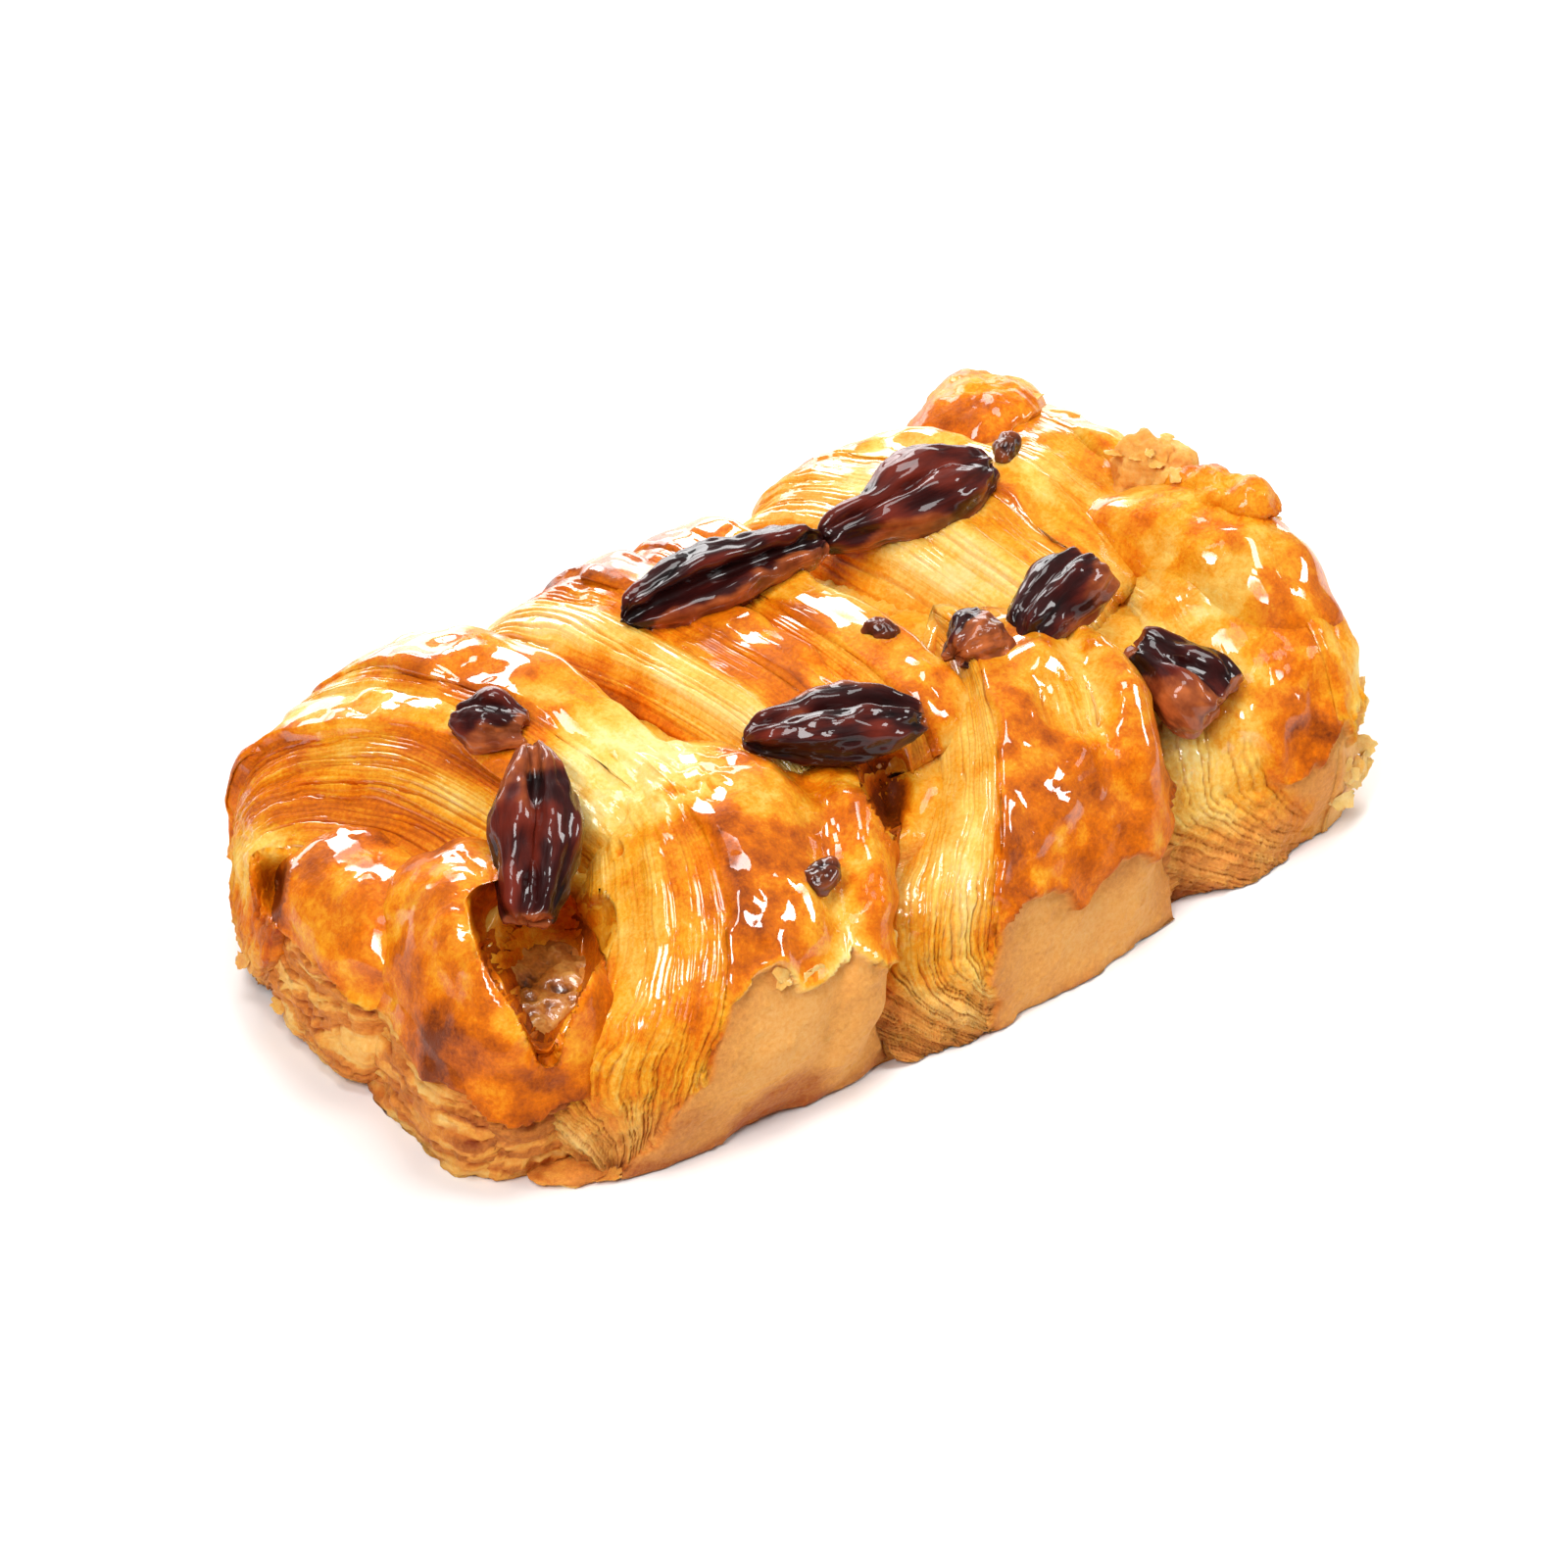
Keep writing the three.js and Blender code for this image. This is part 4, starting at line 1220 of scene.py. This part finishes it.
def dough_material(lines, specks):
    """Baked dough: brown by its tone, dull where plain, darkened by painted shade in slits and pits, and
    glazed where wet.
    """
    material, tree, shader = new_material("baked_dough")
    line = maths_of(tree, "MULTIPLY", lines_of(tree, lines, Across=2.6), field_of(tree, "lined"))
    speck = put(tree, "ShaderNodeGroup", {"Scale": 1800.0}, node_tree=specks)
    speckle = centred(tree, speck.outputs["Speck"])
    tone = plus_part(tree, field_of(tree, "tone"), line, 0.5)
    tone = plus_part(tree, tone, centred(tree, speck.outputs["Blotch"]), 0.45)
    tone = plus_part(tree, tone, speckle, 0.4)
    glazed = ramp_of(tree, tone, DOUGH_TONES)
    plain = ramp_of(tree, plus_part(tree, field_of(tree, "tone"), speckle, 0.5), PLAIN_TONES)
    colour = blend_of(tree, field_of(tree, "plain"), glazed, plain)
    # painted shade in slits and pits
    painted_shade = maths_of(tree, "MULTIPLY", field_of(tree, "slit_shade"), 0.75)
    set_inputs(tree, shader, {
        "Base Color": blend_of(tree, painted_shade, colour, SLIT_SHADE_TINT, "MULTIPLY"),
        "Roughness": 0.5,
        "Specular IOR Level": 0.1,
        "Normal": bump_of(tree, plus_part(tree, line, speckle, 0.35), 0.8, 0.0005),
        "Coat Weight": field_of(tree, "wet"),
        "Coat Roughness": 0.04,
        "Coat IOR": 1.75,
        "Subsurface Weight": 0.2,
        "Subsurface Radius": (1.0, 0.5, 0.2),
        "Subsurface Scale": 0.002,
    })
    return material


def pecan_material(lines, specks):
    """Dark nut skin under glaze, and lighter flesh where it is bare."""
    material, tree, shader = new_material("glazed_pecan")
    line = lines_of(tree, lines, Across=1.0, Length=0.3)
    speck = put(tree, "ShaderNodeGroup", {"Scale": 1400.0}, node_tree=specks)
    skin = ramp_of(tree, plus_part(tree, field_of(tree, "furrow"), line, 0.8), NUT_SKIN_TONES)
    flesh = ramp_of(tree, speck.outputs["Blotch"], NUT_FLESH_TONES)
    set_inputs(tree, shader, {
        "Base Color": blend_of(tree, field_of(tree, "flesh"), skin, flesh),
        "Roughness": 0.5,
        "Specular IOR Level": 0.1,
        "Normal": bump_of(tree, line, 0.5, 0.0004),
        "Coat Weight": 0.65,
        "Coat Roughness": 0.03,
        "Coat IOR": 1.5,
    })
    return material


def filling_material(specks):
    """Wet, crumbly nut paste."""
    material, tree, shader = new_material("wet_filling")
    speck = put(tree, "ShaderNodeGroup", {"Scale": 700.0}, node_tree=specks).outputs["Speck"]
    tone = maths_of(tree, "ADD", field_of(tree, "flesh"), centred(tree, speck))
    set_inputs(tree, shader, {
        "Base Color": ramp_of(tree, tone, FILLING_TONES),
        "Roughness": 0.4,
        "Normal": bump_of(tree, speck, 0.6, 0.0006),
        "Coat Weight": 1.0,
        "Coat Roughness": 0.08,
        "Coat IOR": 1.5,
    })
    return material


# The stage, in metres

CAMERA_AZIMUTH = -42.6
CAMERA_ELEVATION = 33
CAMERA_DISTANCE = 1.0
CAMERA_LENS = 192.8
CAMERA_SENSOR = 36
AIM_HEIGHT = 0.018
AIM_RIGHT = -0.00167
AIM_UP = -0.00385
FLOOR_HALF = 3.0
WORLD_LIGHT = 0.08
LIGHT_AIM = Vector((0, 0, 0.02))
# The lights: place, size and power
LIGHTS = {
    "softbox_top": ((0.1, -0.05, 0.75), (0.28, 0.28), 2.3),
    "softbox_high": ((-0.25, -0.12, 0.7), (0.18, 0.18), 1.3),
    "softbox_left": ((-0.55, -0.26, 0.58), (0.28, 0.28), 4.2),
    "softbox_right": ((0.62, -0.4, 0.5), (0.24, 0.24), 2.6),
    "softbox_back": ((0.32, 0.66, 0.5), (0.32, 0.32), 3.8),
    "card_back": ((0.5, 0.8, 0.16), (1.2, 0.3), 5),
}


def make_camera():
    turn = math.radians(CAMERA_AZIMUTH)
    lift = math.radians(CAMERA_ELEVATION)
    back = Vector((math.sin(turn) * math.cos(lift), -math.cos(turn) * math.cos(lift), math.sin(lift)))
    right = Vector((math.cos(turn), math.sin(turn), 0))
    up = back.cross(right)
    aim = Vector(SHIFT * MM) + Vector((0, 0, AIM_HEIGHT)) + right * AIM_RIGHT + up * AIM_UP
    lens = bpy.data.cameras.new("camera")
    lens.lens = CAMERA_LENS
    lens.sensor_width = CAMERA_SENSOR
    camera = bpy.data.objects.new("camera", lens)
    camera.location = aim + back * CAMERA_DISTANCE
    camera.rotation_euler = back.to_track_quat("Z", "Y").to_euler()
    bpy.context.collection.objects.link(camera)
    bpy.context.scene.camera = camera


def make_light(name, place, size, power):
    light = bpy.data.lights.new(name, "AREA")
    light.shape = "RECTANGLE"
    light.size, light.size_y = size
    light.energy = power
    lamp = bpy.data.objects.new(name, light)
    lamp.location = place
    lamp.rotation_euler = (Vector(place) - LIGHT_AIM).to_track_quat("Z", "Y").to_euler()
    bpy.context.collection.objects.link(lamp)


def make_floor():
    mesh = bpy.data.meshes.new("floor")
    corners = [(-1, -1), (1, -1), (1, 1), (-1, 1)]
    mesh.from_pydata([(x * FLOOR_HALF, y * FLOOR_HALF, 0) for x, y in corners], [], [(0, 1, 2, 3)])
    floor = bpy.data.objects.new("floor", mesh)
    material, tree, shader = new_material("pale_floor")
    place = put(tree, "ShaderNodeTexCoord").outputs["Object"]
    colour = ramp_of(tree, noise_of(tree, place, 3, 2), FLOOR_TONES)
    set_inputs(tree, shader, {"Base Color": colour, "Roughness": 0.9})
    mesh.materials.append(material)
    bpy.context.collection.objects.link(floor)


def make_stage():
    make_floor()
    world = bpy.data.worlds.new("studio")
    world.use_nodes = True
    world.node_tree.nodes["Background"].inputs[0].default_value = (1, 1, 1, 1)
    world.node_tree.nodes["Background"].inputs[1].default_value = WORLD_LIGHT
    bpy.context.scene.world = world
    bpy.context.scene.view_settings.view_transform = "Standard"
    for name, (place, size, power) in LIGHTS.items():
        make_light(name, place, size, power)


make_camera()
make_stage()
line_group = fine_lines_group()
speck_group = speckle_group()
baked_dough = dough_material(line_group, speck_group)
nut_skin = pecan_material(line_group, speck_group)
wet_filling = filling_material(speck_group)
for number, (strip_name, strip_values) in enumerate(STRIPS.items()):
    make_strip(strip_name, strip_values, number + 1, baked_dough)
for number, (lobe_name, lobe_form) in enumerate(LOBES.items()):
    make_lobe(lobe_name, lobe_form, number + LOBE_KEYS, baked_dough)
for number, (flake_name, flake_form) in enumerate(FLAKES.items()):
    make_lobe(flake_name, flake_form, number + FLAKE_KEYS, baked_dough)
make_flakes(baked_dough)
make_core(baked_dough)
make_foot(baked_dough)
for number, (nut_name, nut_form) in enumerate(PECANS.items()):
    make_pecan(nut_name, nut_form, number + 1, nut_skin)
make_chips(nut_skin)
make_filling(wet_filling)
